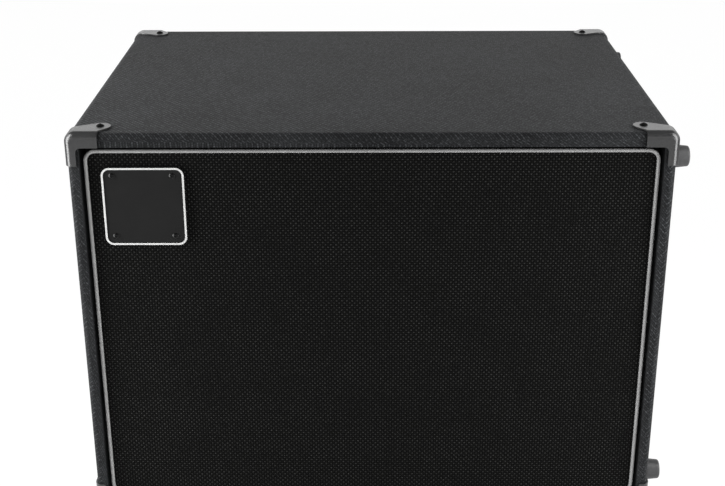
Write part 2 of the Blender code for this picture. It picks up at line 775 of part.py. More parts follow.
def make_handles(root):
    """A recessed dish in each side; fingers reach up behind the top of its mouth."""
    for side, name in ((-1, "left_handle"), (1, "right_handle")):
        place = handle_place(side)
        turn = facing((side, 0, 0))
        lip = slab(name, HANDLE_FLANGE, GAP, GAP + HANDLE_LIP, HANDLE_FLANGE_RADIUS)
        handle = piece(name, lip, plastic_finish(), root, place, turn)
        shell = slab(name + "_shell", HANDLE_POCKET, -HANDLE_DEPTH, GAP + HANDLE_LIP / 2,
                     HANDLE_RADIUS)
        boolean(handle, cutter(name + "_shell", shell, root, place, turn), "UNION")
        hollow_size = [length - 2 * HANDLE_WALL for length in HANDLE_POCKET]
        floor = HANDLE_WALL - HANDLE_DEPTH
        hollow = slab(name + "_hollow", hollow_size, floor, GAP - HANDLE_WALL,
                      HANDLE_RADIUS - HANDLE_WALL)
        mouth = slab(name + "_mouth", HANDLE_MOUTH, floor / 2, 4 * HANDLE_LIP, HANDLE_RADIUS)
        drop = (HANDLE_POCKET[1] - HANDLE_MOUTH[1]) / 2 - HANDLE_LIP_WIDTH
        lower = (place[0], place[1], place[2] - drop)
        boolean(handle, cutter(name + "_hollow", hollow, root, place, turn))
        boolean(handle, cutter(name + "_mouth", mouth, root, lower, turn))


def rounded_ring_points(half_x, half_y, radius, level, corner_points):
    """Points round a rectangle with round corners, at one level of local Z."""
    points = []
    corners = ((1, 1, 0), (-1, 1, 90), (-1, -1, 180), (1, -1, 270))
    for sign_x, sign_y, start in corners:
        centre = (sign_x * (half_x - radius), sign_y * (half_y - radius))
        bend = arc(centre, radius, start, start + 90, corner_points)
        points += [(x, y, level) for x, y in bend]
    return points


def grille_slab(name, inset, front, back, radius):
    """An upright plate with round corners, set in from top and base, and less from the sides."""
    size = (CABINET_WIDTH - 2 * (inset - SIDE_TRIM), CABINET_HEIGHT - 2 * inset)
    return slab(name, size, -back, -front, radius)


def make_grille(root):
    """Frame with pegs, cloth, piping and the badge plate; the whole pulls off forwards."""
    face = empty("grille_slide_axis", (0, 0, CABINET_HEIGHT / 2), facing((0, -1, 0)), root)
    frame_mesh = grille_slab("grille_frame", PIPING_INSET, GRILLE_FRONT, GRILLE_BACK, PIPING_CORNER)
    frame = piece("grille_frame", frame_mesh, painted_ply_finish(), face)
    hole = grille_slab("grille_window", PIPING_INSET + GRILLE_BAR, 0, 2 * GRILLE_BACK,
                       GRILLE_WINDOW_RADIUS)
    boolean(frame, cutter("grille_window", hole, face))
    shoulder = GRILLE_BACK - BAFFLE_SETBACK + GAP
    overlap = GRILLE_THICKNESS / 2
    profile = [(0, overlap), (PEG_RADIUS, overlap), (PEG_RADIUS, shoulder), (PIN_RADIUS, shoulder),
               (PIN_RADIUS, shoulder - PIN_LENGTH), (0, shoulder - PIN_LENGTH)]
    form = turned("grille_peg", profile, SMALL_SIDES)
    for x, z in peg_places():
        place = (x, z - CABINET_HEIGHT / 2, -GRILLE_BACK)
        boolean(frame, cutter("grille_peg", form.copy(), face, place), "UNION")

    centre_line = PIPING_INSET + PIPING_RADIUS
    ring = rounded_ring_points(HALF_WIDTH - centre_line + SIDE_TRIM,
                               CABINET_HEIGHT / 2 - centre_line, PIPING_CORNER - PIPING_RADIUS,
                               -PIPING_DEPTH, PIPING_CORNER_POINTS)
    tube("grille_piping", ring, PIPING_RADIUS, piping_finish(), face, cyclic=True)
    cloth_inset = PIPING_INSET + 2 * PIPING_RADIUS + GAP
    cloth_back = GRILLE_FRONT - GAP
    cloth = grille_slab("grille_cloth", cloth_inset, cloth_back - CLOTH, cloth_back,
                        PIPING_CORNER - 2 * PIPING_RADIUS - GAP)
    piece("grille_cloth", cloth, cloth_finish(), face)

    badge_back = cloth_back - CLOTH - GAP
    badge_front = badge_back - BADGE_THICKNESS
    plate = slab("badge_plate", (BADGE_SIZE, BADGE_SIZE), -badge_back, -badge_front, BADGE_CORNER)
    reach = BADGE_SIZE / 2
    x = -HALF_WIDTH + BADGE_FROM_SIDE + reach
    y = CABINET_HEIGHT / 2 - BADGE_FROM_TOP - reach
    badge = piece("badge_plate", plate, plastic_finish(), face, (x, y, 0))
    inner = BADGE_SIZE - 2 * BADGE_BORDER
    recess = slab("badge_recess", (inner, inner), -badge_front - BADGE_RECESS, BADGE_THICKNESS,
                  BADGE_CORNER - BADGE_BORDER)
    boolean(badge, cutter("badge_recess", recess, face, (x, y, 0)))


def dome(radius, height, base, count):
    """Points down a shallow spherical dome, from its crown to its rim."""
    ball = (radius ** 2 + height ** 2) / (2 * height)
    spread = math.asin(radius / ball)
    angles = [spread * k / (count - 1) for k in range(count)]
    return [(ball * math.sin(a), base + height - ball * (1 - math.cos(a))) for a in angles]


def woofer_window_mesh():
    """Tapered openings between the spokes of a basket, as one cutter."""
    outer = WOOFER_CUTOUT_RADIUS - BASKET_SHELF
    inner = SPIDER_RADIUS + SPIDER_LEDGE
    spoke = BASKET_SPOKE / 2
    half_angle = math.pi / BASKET_WINDOWS
    bm = bmesh.new()
    for k in range(BASKET_WINDOWS):
        turn = math.tau * (k + 0.5) / BASKET_WINDOWS
        wedge = bmesh.ops.create_cube(bm, size=1)["verts"]
        for vert in wedge:
            radius = outer if vert.co.x > 0 else inner
            width = radius * math.sin(half_angle) - spoke
            vert.co.x = radius * math.cos(half_angle)
            vert.co.y = math.copysign(width, vert.co.y)
            vert.co.z = -SPIDER_DEPTH if vert.co.z < 0 else 0
        bmesh.ops.rotate(bm, verts=wedge, matrix=Matrix.Rotation(turn, 3, "Z"))
    return to_mesh("basket_windows", bm)


def make_woofer(side, name, root):
    """One woofer, about its own axis: local +Z comes forward out of the baffle."""
    place = (side * WOOFER_SPREAD, BAFFLE_SETBACK, WOOFER_RISE)
    axis = empty(name + "_axis", place, facing((0, -1, 0)), root)
    flange = GAP + BASKET_SHEET
    landing = SPIDER_DEPTH + BASKET_SHEET
    seat = PLATE_DEPTH + BASKET_SHEET / 2
    wall = WOOFER_CUTOUT_RADIUS - CUTOUT_CLEARANCE
    profile = [(WOOFER_RADIUS, GAP), (wall, GAP), (wall - BASKET_TAPER, -BASKET_SHELF),
               (SPIDER_RADIUS + BASKET_SHEET, -landing), (SPIDER_RADIUS - SPIDER_LEDGE, -landing),
               (PLATE_RADIUS + BASKET_SHEET, -seat), (PLATE_RADIUS - PLATE_LEDGE, -seat)]
    mesh = turned(name + "_basket", profile, WOOFER_SIDES, sheet=BASKET_SHEET)
    basket = piece(name + "_basket", mesh, steel_finish(), axis)
    boolean(basket, cutter(name + "_windows", woofer_window_mesh(), axis))
    plate_back = PLATE_DEPTH + PLATE_THICKNESS
    bore = COIL_RADIUS + COIL_CLEARANCE
    ring = [(PLATE_RADIUS, -PLATE_DEPTH), (PLATE_RADIUS, -plate_back), (bore, -plate_back),
            (bore, -PLATE_DEPTH)]
    plate = turned(name + "_top_plate", ring, WOOFER_SIDES, closed=True)
    boolean(basket, cutter(name + "_top_plate", plate, axis), "UNION")
    width, height, depth = TERMINAL
    low = (-width / 2, TERMINAL_INSIDE, -PLATE_DEPTH)
    high = (width / 2, TERMINAL_INSIDE + height, -PLATE_DEPTH + depth)
    block = box(name + "_terminal", low, high)
    boolean(basket, cutter(name + "_terminal", block, axis), "UNION")

    magnet_front = plate_back + GAP
    magnet_back = magnet_front + MAGNET_THICKNESS
    ring = [(MAGNET_RADIUS, -magnet_front), (MAGNET_RADIUS, -magnet_back),
            (MAGNET_BORE, -magnet_back), (MAGNET_BORE, -magnet_front)]
    piece(name + "_magnet", turned(name + "_magnet", ring, WOOFER_SIDES, closed=True),
          ferrite_finish(), axis)
    yoke_front = magnet_back + GAP
    yoke_back = yoke_front + YOKE_THICKNESS
    pole = COIL_RADIUS - CONE_SHEET - COIL_CLEARANCE
    ring = [(pole, -PLATE_DEPTH + COIL_CLEARANCE), (pole, -yoke_front), (YOKE_RADIUS, -yoke_front),
            (YOKE_RADIUS, -yoke_back), (YOKE_VENT, -yoke_back),
            (YOKE_VENT, -PLATE_DEPTH + COIL_CLEARANCE)]
    piece(name + "_yoke", turned(name + "_yoke", ring, WOOFER_SIDES, closed=True),
          bright_steel_finish(), axis)

    rim = flange - CONE_SHEET
    middle = ((CONE_RADIUS + COIL_RADIUS) / 2, -NECK_DEPTH / 2 - CONE_BOW)
    profile = [(CONE_RADIUS, rim), (CONE_RADIUS - CONE_LIP, rim), middle,
               (COIL_RADIUS, -NECK_DEPTH), (COIL_RADIUS, -COIL_END_DEPTH)]
    mesh = turned(name + "_cone", profile, WOOFER_SIDES, sheet=CONE_SHEET)
    piece(name + "_cone", mesh, paper_finish(), axis)
    slope = (middle[1] + NECK_DEPTH) / (middle[0] - COIL_RADIUS)
    base = -NECK_DEPTH + slope * (DUST_CAP_RADIUS - COIL_RADIUS)
    base += 2 * CONE_SHEET * math.hypot(1, slope) + GAP
    profile = dome(DUST_CAP_RADIUS, DUST_CAP_HEIGHT, base, DUST_CAP_POINTS)
    mesh = turned(name + "_dust_cap", profile, WOOFER_SIDES, sheet=CONE_SHEET)
    piece(name + "_dust_cap", mesh, paper_finish(), axis)

    lip_back = flange + GAP
    roll = arc((CONE_RADIUS + SURROUND_ROLL, lip_back), SURROUND_ROLL, 0, 180, SURROUND_POINTS)
    profile = [(WOOFER_RADIUS - SURROUND_MARGIN, lip_back), *roll,
               (CONE_RADIUS - CONE_LIP, lip_back)]
    mesh = turned(name + "_surround", profile, WOOFER_SIDES, sheet=SURROUND_SHEET)
    piece(name + "_surround", mesh, rubber_finish(), axis)

    rest = -SPIDER_DEPTH + GAP
    inner_edge = COIL_RADIUS + GAP + CONE_SHEET / 2
    outer_edge = SPIDER_RADIUS - SPIDER_LIP
    count = 2 * SPIDER_WAVES
    profile = [(SPIDER_RADIUS, rest)]
    for k in range(count + 1):
        radius = outer_edge + (inner_edge - outer_edge) * k / count
        profile.append((radius, rest + SPIDER_WAVE_HEIGHT * (k % 2)))
    mesh = turned(name + "_spider", profile, WOOFER_SIDES, sheet=SPIDER_SHEET)
    piece(name + "_spider", mesh, spider_finish(), axis)


def horn_section(half, blend, depth, radius):
    """One ring of the horn: a circle at blend 0, a square with round corners at blend 1."""
    power = 2 + HORN_SQUARENESS * blend
    points = []
    for k in range(HORN_SIDES):
        angle = math.tau * (k + 0.5) / HORN_SIDES
        x = math.cos(angle)
        y = math.sin(angle)
        square = (abs(x) ** power + abs(y) ** power) ** (-1 / power)
        reach = radius * (1 - blend) + half * blend
        points.append((reach * square * x, reach * square * y, depth))
    return points


def make_horn(root):
    """A flare lofted from its round throat to its square mouth, and the driver behind it."""
    axis = empty("horn_axis", (0, BAFFLE_SETBACK, HORN_RISE), facing((0, -1, 0)), root)
    face = GAP + HORN_WALL
    rings = [horn_section(HORN_FLANGE / 2, 1, face, 0)]
    for k in range(HORN_SECTIONS + 1):
        t = k / HORN_SECTIONS
        growth = math.expm1(HORN_GROWTH * (1 - t)) / math.expm1(HORN_GROWTH)
        reach = HORN_THROAT_RADIUS + (HORN_MOUTH / 2 - HORN_THROAT_RADIUS) * growth
        depth = face - (HORN_DEPTH + face - THROAT_FLANGE / 2) * t
        rings.append(horn_section(reach, 1 - t, depth, reach))
    bm = bmesh.new()
    loops = [[bm.verts.new(point) for point in ring] for ring in rings]
    for upper, lower in zip(loops, loops[1:]):
        for k in range(HORN_SIDES):
            n = (k + 1) % HORN_SIDES
            bm.faces.new((upper[k], upper[n], lower[n], lower[k]))
    bmesh.ops.recalc_face_normals(bm, faces=bm.faces)
    if sum(f.normal.z * f.calc_area() for f in bm.faces) > 0:
        bmesh.ops.reverse_faces(bm, faces=bm.faces)
    mesh = bpy.data.meshes.new("horn_flare")
    bm.to_mesh(mesh)
    bm.free()
    mesh.shade_smooth()
    horn = piece("horn_flare", mesh, plastic_finish(), axis)
    wall = horn.modifiers.new("wall", "SOLIDIFY")
    wall.thickness = HORN_WALL
    wall.offset = 1
    wall.use_even_offset = True
    bore = HORN_THROAT_RADIUS + HORN_WALL / 6
    top = THROAT_FLANGE - HORN_DEPTH
    ring = [(THROAT_FLANGE_RADIUS, top), (THROAT_FLANGE_RADIUS, -HORN_DEPTH),
            (bore, -HORN_DEPTH), (bore, top)]
    collar = turned("throat_flange", ring, HORN_SIDES, closed=True)
    boolean(horn, cutter("throat_flange", collar, axis), "UNION")

    front = -HORN_DEPTH - GAP
    step = front - DRIVER_STEP
    end = front - DRIVER_LENGTH
    profile = [(0, step), (HORN_THROAT_RADIUS, step), (HORN_THROAT_RADIUS, front),
               (THROAT_FLANGE_RADIUS, front), (THROAT_FLANGE_RADIUS, step), (DRIVER_RADIUS, step),
               (DRIVER_RADIUS, end + DRIVER_CHAMFER), (DRIVER_RADIUS - DRIVER_CHAMFER, end),
               (0, end)]
    piece("horn_driver", turned("horn_driver", profile, WOOFER_SIDES), steel_finish(), axis)


def make_ports(root):
    """Two tubes through the baffle, with a lip on its front and a flared mouth."""
    outer = PORT_RADIUS + PORT_WALL
    front = GAP + PORT_LIP_SHEET
    flare = arc((PORT_RADIUS + PORT_LIP, front - PORT_LIP), PORT_LIP, 180, 90, 3)
    for side, name in ((-1, "left_port_tube"), (1, "right_port_tube")):
        profile = [(outer + PORT_LIP, front), (outer + PORT_LIP, GAP), (outer, GAP),
                   (outer, -PORT_LENGTH), (PORT_RADIUS, -PORT_LENGTH), *flare]
        mesh = turned(name, profile, PORT_SIDES, closed=True)
        place = (side * PORT_SPREAD, BAFFLE_SETBACK, PORT_RISE)
        piece(name, mesh, plastic_finish(), root, place, facing((0, -1, 0)))


def make_input_dish(root):
    """The dish in the back, two jacks, and the attenuator with its knob."""
    axis = empty("dish_axis", (0, BACK_FACE, DISH_RISE), facing((0, 1, 0)), root)
    lip = GAP + DISH_WALL
    dish = piece("input_dish", slab("input_dish", DISH_FLANGE, GAP, lip, DISH_RADIUS),
                 plastic_finish(), axis)
    shell = slab("dish_shell", DISH_POCKET, -DISH_DEPTH, lip - DISH_WALL / 2, DISH_RADIUS)
    boolean(dish, cutter("dish_shell", shell, axis), "UNION")
    size = [length - 2 * DISH_WALL for length in DISH_POCKET]
    floor = DISH_WALL - DISH_DEPTH
    hollow = slab("dish_hollow", size, floor, DISH_DEPTH, DISH_RADIUS - DISH_WALL)
    boolean(dish, cutter("dish_hollow", hollow, axis))
    radius = JACK_NECK + GAP
    for x in (-DISH_SPACING, 0, DISH_SPACING):
        profile = [(0, DISH_DEPTH), (radius, DISH_DEPTH), (radius, -2 * DISH_DEPTH),
                   (0, -2 * DISH_DEPTH)]
        hole = turned("dish_hole_round", profile, JACK_SIDES)
        boolean(dish, cutter("dish_hole_round", hole, axis, (x, 0, 0)))

    under = -DISH_WALL - GAP
    nut = GAP + JACK_NUT_THICKNESS
    rim = nut + JACK_NUT_THICKNESS
    end = under - JACK_BODY_LENGTH
    bushing = [(JACK_NECK, GAP), (JACK_NECK, under)]
    profile = [(0, end + JACK_BODY_WALL), (JACK_BORE, end + JACK_BODY_WALL), (JACK_BORE, rim),
               (JACK_NECK, rim), (JACK_NECK, nut), (JACK_NUT_RADIUS, nut), (JACK_NUT_RADIUS, GAP),
               *bushing, (JACK_BODY_RADIUS, under), (JACK_BODY_RADIUS, end), (0, end)]
    for name, x in (("input_jack", 0), ("link_jack", DISH_SPACING)):
        mesh = turned(name, profile, JACK_SIDES)
        piece(name, mesh, bright_steel_finish(), axis, (x, 0, floor))

    tip = nut + SHAFT_LENGTH
    end = under - ATTENUATOR_LENGTH
    profile = [(0, tip), (SHAFT_RADIUS, tip), (SHAFT_RADIUS, nut), (JACK_NUT_RADIUS, nut),
               (JACK_NUT_RADIUS, GAP), *bushing, (ATTENUATOR_RADIUS, under),
               (ATTENUATOR_RADIUS, end), (0, end)]
    mesh = turned("level_attenuator", profile, JACK_SIDES)
    piece("level_attenuator", mesh, bright_steel_finish(), axis, (-DISH_SPACING, 0, floor))
    make_knob(axis, (-DISH_SPACING, 0, floor + nut + GAP))


def make_knob(axis, place):
    """A fluted knob with a pointer ridge, turning on the attenuator's shaft."""
    bm = bmesh.new()
    bmesh.ops.create_cone(bm, cap_ends=True, segments=2 * KNOB_FLUTES, radius1=KNOB_RADIUS,
                          radius2=KNOB_RADIUS - KNOB_TAPER, depth=KNOB_LENGTH)
    bmesh.ops.translate(bm, vec=(0, 0, KNOB_LENGTH / 2), verts=bm.verts)
    for vert in bm.verts:
        step = round(math.atan2(vert.co.y, vert.co.x) / math.tau * 2 * KNOB_FLUTES)
        if step % 2:
            radius = vert.co.xy.length
            vert.co.xy *= (radius - KNOB_FLUTE_DEPTH) / radius
    knob = piece("level_knob", to_mesh("level_knob", bm), plastic_finish(), axis, place)
    half = KNOB_RIDGE / 2
    high = (half, KNOB_RADIUS - 2 * KNOB_TAPER, KNOB_LENGTH + half)
    ridge = box("knob_ridge", (-half, 0, KNOB_LENGTH / 2), high)
    boolean(knob, cutter("knob_ridge", ridge, axis, place), "UNION")
    depth = SHAFT_LENGTH + GAP
    radius = SHAFT_RADIUS + GAP
    profile = [(0, depth), (radius, depth), (radius, -depth), (0, -depth)]
    boolean(knob, cutter("knob_bore", turned("knob_bore", profile, JACK_SIDES), axis, place))


def make_crossover(root):
    """A board on four spacers on the inside of the back, with its air-cored coil."""
    x, z = CROSSOVER_CENTRE
    axis = empty("crossover_axis", (x, BACK_INNER, z), facing((0, -1, 0)), root)
    low = GAP + SPACER_HEIGHT
    board_mesh = slab("crossover_board", CROSSOVER_SIZE, low, low + CROSSOVER_BOARD,
                      CROSSOVER_CORNER, 1)
    board = piece("crossover_board", board_mesh, finish("circuit_board", (0.03, 0.12, 0.05), 0.5),
                  axis)
    profile = [(0, low + CROSSOVER_BOARD / 2), (SPACER_RADIUS, low + CROSSOVER_BOARD / 2),
               (SPACER_RADIUS, GAP), (0, GAP)]
    inset = 2 * SPACER_RADIUS
    for sign_x in (-1, 1):
        for sign_y in (-1, 1):
            place = (sign_x * (CROSSOVER_SIZE[0] / 2 - inset),
                     sign_y * (CROSSOVER_SIZE[1] / 2 - inset), 0)
            spacer = turned("crossover_spacer", profile, SMALL_SIDES)
            boolean(board, cutter("crossover_spacer", spacer, axis, place), "UNION")
    base = low + CROSSOVER_BOARD + GAP
    ring = [(COIL_OUTER, base + COIL_HEIGHT), (COIL_OUTER, base), (COIL_BORE, base),
            (COIL_BORE, base + COIL_HEIGHT)]
    piece("crossover_coil", turned("crossover_coil", ring, WOOFER_SIDES, closed=True),
          copper_finish(), axis, (-CROSSOVER_SIZE[0] / 5, 0, 0))


def make_batt(root):
    """A fibre batt under the top board, behind the ports."""
    inset = BOARD_INSIDE + GAP
    top = CABINET_HEIGHT - inset
    back = BACK_INNER - 2 * GAP - CLEAT
    low = (-HALF_WIDTH + inset + BATT_MARGIN, BATT_START, top - BATT_THICKNESS)
    high = (HALF_WIDTH - inset - BATT_MARGIN, back, top)
    batt = piece("damping_batt", box("damping_batt", low, high), batt_finish(), root)
    soft = batt.modifiers.new("soft_edges", "BEVEL")
    soft.width = BATT_THICKNESS / 3
    soft.segments = 2


def make_leads(root):
    """A lead from each woofer's terminal block to the crossover board."""
    board_x, board_z = CROSSOVER_CENTRE
    board_face = BACK_INNER - GAP - SPACER_HEIGHT - CROSSOVER_BOARD - GAP
    terminal_y = BAFFLE_SETBACK + PLATE_DEPTH - TERMINAL[2] / 2
    terminal_z = WOOFER_RISE + TERMINAL_INSIDE + TERMINAL[1] + GAP
    end_x = board_x + CROSSOVER_SIZE[0] / 2 - 4 * SPACER_RADIUS
    routes = {
        "left_woofer_lead": (
            -WOOFER_SPREAD,
            [(-WOOFER_SPREAD, 150 * MM, 236 * MM), (-134 * MM, 250 * MM, 200 * MM),
             (-122 * MM, 335 * MM, 166 * MM)],
            board_z + LEAD_SPREAD),
        "right_woofer_lead": (
            WOOFER_SPREAD,
            [(115 * MM, 160 * MM, 230 * MM), (55 * MM, 230 * MM, 190 * MM),
             (-25 * MM, 285 * MM, 152 * MM)],
            board_z)}
    for name, (start_x, middle, end_z) in routes.items():
        stops = [(start_x, terminal_y, terminal_z),
                 (start_x, terminal_y, terminal_z + LEAD_STRAIGHT), *middle,
                 (end_x, board_face - LEAD_STRAIGHT, end_z), (end_x, board_face, end_z)]
        tube(name, smooth_route(stops, LEAD_POINTS), LEAD_RADIUS,
             finish("red_black_lead", (0.25, 0.02, 0.02), 0.5), root)


def build():
    clear_scene()
    shift = (FOOT_PROUD - PROTECTOR_PROUD) / 2
    root = empty("cabinet_origin", (-shift, -CABINET_DEPTH / 2, FOOT_PROUD))
    make_carcass(root)
    make_protectors(root)
    make_feet(root)
    make_handles(root)
    make_grille(root)
    for side, name in ((-1, "left_woofer"), (1, "right_woofer")):
        make_woofer(side, name, root)
    make_horn(root)
    make_ports(root)
    make_input_dish(root)
    make_crossover(root)
    make_batt(root)
    make_leads(root)


build()
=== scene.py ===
# %% [markdown]
# # A bass speaker cabinet
#
# The packed solids of the cabinet are the frame of this scene. Each cell below either gives one
# of them its finish or puts a finer piece in its place. A piece never leaves the place that its
# solid holds, so the joints of the model still work when the scene is done.

# %% Load the frame
import math

import bmesh
import bpy
from mathutils import Matrix, Vector, noise


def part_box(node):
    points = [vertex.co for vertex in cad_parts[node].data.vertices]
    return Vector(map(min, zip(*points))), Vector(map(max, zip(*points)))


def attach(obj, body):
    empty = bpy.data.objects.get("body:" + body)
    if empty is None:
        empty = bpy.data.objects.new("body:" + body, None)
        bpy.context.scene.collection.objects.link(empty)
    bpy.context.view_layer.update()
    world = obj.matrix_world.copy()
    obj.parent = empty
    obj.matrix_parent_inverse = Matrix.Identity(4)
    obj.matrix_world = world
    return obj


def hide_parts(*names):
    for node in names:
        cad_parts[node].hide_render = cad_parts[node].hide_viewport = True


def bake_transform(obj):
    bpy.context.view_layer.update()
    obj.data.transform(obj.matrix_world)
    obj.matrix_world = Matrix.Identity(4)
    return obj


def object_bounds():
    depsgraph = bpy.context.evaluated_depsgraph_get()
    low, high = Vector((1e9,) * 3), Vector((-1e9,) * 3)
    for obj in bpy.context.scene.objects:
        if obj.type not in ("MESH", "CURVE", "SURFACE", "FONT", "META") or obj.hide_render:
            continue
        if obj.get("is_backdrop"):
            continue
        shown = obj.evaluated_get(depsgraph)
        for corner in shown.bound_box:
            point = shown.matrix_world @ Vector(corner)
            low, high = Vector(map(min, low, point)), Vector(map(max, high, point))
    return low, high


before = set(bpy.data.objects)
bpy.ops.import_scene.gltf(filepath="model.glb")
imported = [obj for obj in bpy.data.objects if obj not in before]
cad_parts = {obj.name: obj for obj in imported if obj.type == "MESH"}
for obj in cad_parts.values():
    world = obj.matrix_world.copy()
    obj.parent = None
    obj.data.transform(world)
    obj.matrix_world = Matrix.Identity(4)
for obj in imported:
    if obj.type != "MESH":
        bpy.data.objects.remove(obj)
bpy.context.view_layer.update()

# %% [markdown]
# ## Measuring from the cabinet
#
# A maker measures a cabinet from its own faces. `spot` does the same: millimetres to the right of
# the middle, back from the front edge and up from the base give a point of the scene. `seat` turns
# a piece that was made lying on the ground so that it stands on such a point. Pieces that lie on
# each other are one small gap apart, as the solids are.

# %% Places
MM = 0.001
covering_low, covering_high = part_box("vinyl_covering")
WIDTH, DEPTH, HEIGHT = covering_high - covering_low
MIDDLE = (covering_low.x + covering_high.x) / 2
FRONT, UP, BACK = Vector((0, -1, 0)), Vector((0, 0, 1)), Vector((0, 1, 0))


def spot(x, y, z):
    """A point from millimetres right of the middle, behind the front and above the base."""
    return Vector((MIDDLE + x * MM, covering_low.y + y * MM, covering_low.z + z * MM))


def seat(place, outward, up=UP):
    """The matrix that stands local +Z on a place, with local +Y along up."""
    outward, up = Vector(outward), Vector(up)
    turn = Matrix((up.cross(outward), up, outward)).transposed().to_4x4()
    return Matrix.Translation(place) @ turn


HALF, DEEP, TALL = WIDTH / MM / 2, DEPTH / MM, HEIGHT / MM
GAP = 0.3
CLEAR = GAP * MM
print("cabinet", round(2 * HALF, 1), "x", round(DEEP, 1), "x", round(TALL, 1), "mm")

# %% [markdown]
# ## Camera
#
# The photograph was taken from a little above the cabinet with a short telephoto lens. The eye
# point, the three angles and the lens come from the cabinet's straight edges, which fix them all.
# The camera's matrix is written from those angles, so nothing has to be aimed by hand.

# %% Camera
EYE = Vector((-0.01055, -1.40995, 0.8182))
YAW, PITCH, ROLL = (math.radians(angle) for angle in (-0.302, 22.33, -0.20))
LENS = 64.6

ahead = Vector((math.sin(YAW) * math.cos(PITCH), math.cos(YAW) * math.cos(PITCH),
                -math.sin(PITCH)))
level = Vector((math.cos(YAW), -math.sin(YAW), 0))
above = level.cross(ahead)
across = math.cos(ROLL) * level + math.sin(ROLL) * above
above = math.cos(ROLL) * above - math.sin(ROLL) * level

camera_data = bpy.data.cameras.new("camera")
camera_data.lens = LENS
camera_data.sensor_width = 36
camera = bpy.data.objects.new("camera", camera_data)
turned = Matrix((across, above, -ahead)).transposed().to_4x4()
camera.matrix_world = Matrix.Translation(EYE) @ turned
bpy.context.scene.collection.objects.link(camera)
bpy.context.scene.camera = camera
bpy.context.scene.view_settings.view_transform = "Standard"
print("camera", round((EYE - spot(0, 0, 212)).length, 2), "m from the front")

# %% [markdown]
# ## Writing shaders as sums
#
# A shader is a net of nodes, and a net is hard to read as code. `Signal` wraps the output of a
# node, so that `a * 2 + b` adds the two Math nodes that it stands for.

# %% Signals
class Signal:
    """A node's output that can stand in sums and products."""

    def __init__(self, nodes, socket):
        self.nodes = nodes
        self.socket = socket

    def maths(self, operation, *values):
        """The output of one Math node."""
        return self.nodes.node("ShaderNodeMath", {"operation": operation}, values)

    def __add__(self, other):
        return self.maths("ADD", self, other)

    def __sub__(self, other):
        return self.maths("SUBTRACT", self, other)

    def __mul__(self, other):
        return self.maths("MULTIPLY", self, other)

    def __truediv__(self, other):
        return self.maths("DIVIDE", self, other)

    def __mod__(self, other):
        return self.maths("FLOORED_MODULO", self, other)

    def __pow__(self, other):
        return self.maths("POWER", self, other)

    def __gt__(self, other):
        return self.maths("GREATER_THAN", self, other)

    def __abs__(self):
        return self.maths("ABSOLUTE", self)

    def __rsub__(self, other):
        return self.maths("SUBTRACT", other, self)

    __radd__ = __add__
    __rmul__ = __mul__

    def floor(self):
        return self.maths("FLOOR", self)

    def cosine(self):
        return self.maths("COSINE", self)

    def held(self):
        """Held between 0 and 1."""
        return self.maths("MINIMUM", self.maths("MAXIMUM", self, 0), 1)


offers = [name.strip("_") for name, entry in vars(Signal).items() if callable(entry)]
print("a Signal offers", ", ".join(offers[1:]))

# %% [markdown]
# ## Adding every node in one way
#
# `Nodes` adds a node in one line: its type, its settings, then what goes into its sockets. A
# Signal becomes a link and anything else becomes the socket's own value. `seen` and `mirrored` ask
# which kind of ray has met the surface, so that the white ground can be one thing to the eye and
# another to the light.

# %% Nodes
class Nodes:
    """A node tree, with one way to add a node to it."""

    def __init__(self, tree):
        self.tree = tree

    def feed(self, socket, value):
        """Link a Signal to a socket, or set the socket's own value."""
        if isinstance(value, Signal):
            self.tree.links.new(value.socket, socket)
        elif socket.type == "RGBA":
            socket.default_value = (*value, 1)
        else:
            socket.default_value = value

    def node(self, kind, settings=None, sockets=(), output=0):
        """Add a node and give one of its outputs. Sockets go by number or by name."""
        made = self.tree.nodes.new(kind)
        for name, value in (settings or {}).items():
            setattr(made, name, value)
        pairs = sockets.items() if isinstance(sockets, dict) else enumerate(sockets)
        for key, value in pairs:
            self.feed(made.inputs[key], value)
        return Signal(self, made.outputs[output])

    def split(self, vector):
        """The x, y and z of a vector."""
        made = self.node("ShaderNodeSeparateXYZ", sockets=(vector,)).socket.node
        return [Signal(self, socket) for socket in made.outputs]

    def blend(self, factor, first, second):
        """A colour between two."""
        return self.node("ShaderNodeMix", {"data_type": "RGBA"},
                         {0: factor, 6: first, 7: second}, output=2)

    def seen(self):
        """1 where the camera, a gloss or a glass looks, 0 where only light is gathered."""
        path = self.node("ShaderNodeLightPath").socket.node
        looks = [Signal(self, path.outputs[f"Is {ray} Ray"])
                 for ray in ("Camera", "Glossy", "Transmission")]
        return (looks[0] + looks[1] + looks[2]).held()

    def mirrored(self):
        """1 in a reflection only."""
        path = self.node("ShaderNodeLightPath").socket.node
        return Signal(self, path.outputs["Is Glossy Ray"])


print("Nodes offers", ", ".join(name for name in vars(Nodes) if name[0] != "_"))

# %% [markdown]
# ## A finish
#
# Every real surface here is one Principled shader whose colour and roughness vary a little. That
# variation comes from noise in the surface's own metres, so its lumps have real sizes. `cloud`
# gives such a noise and `relief` turns one into a bump of a stated depth.

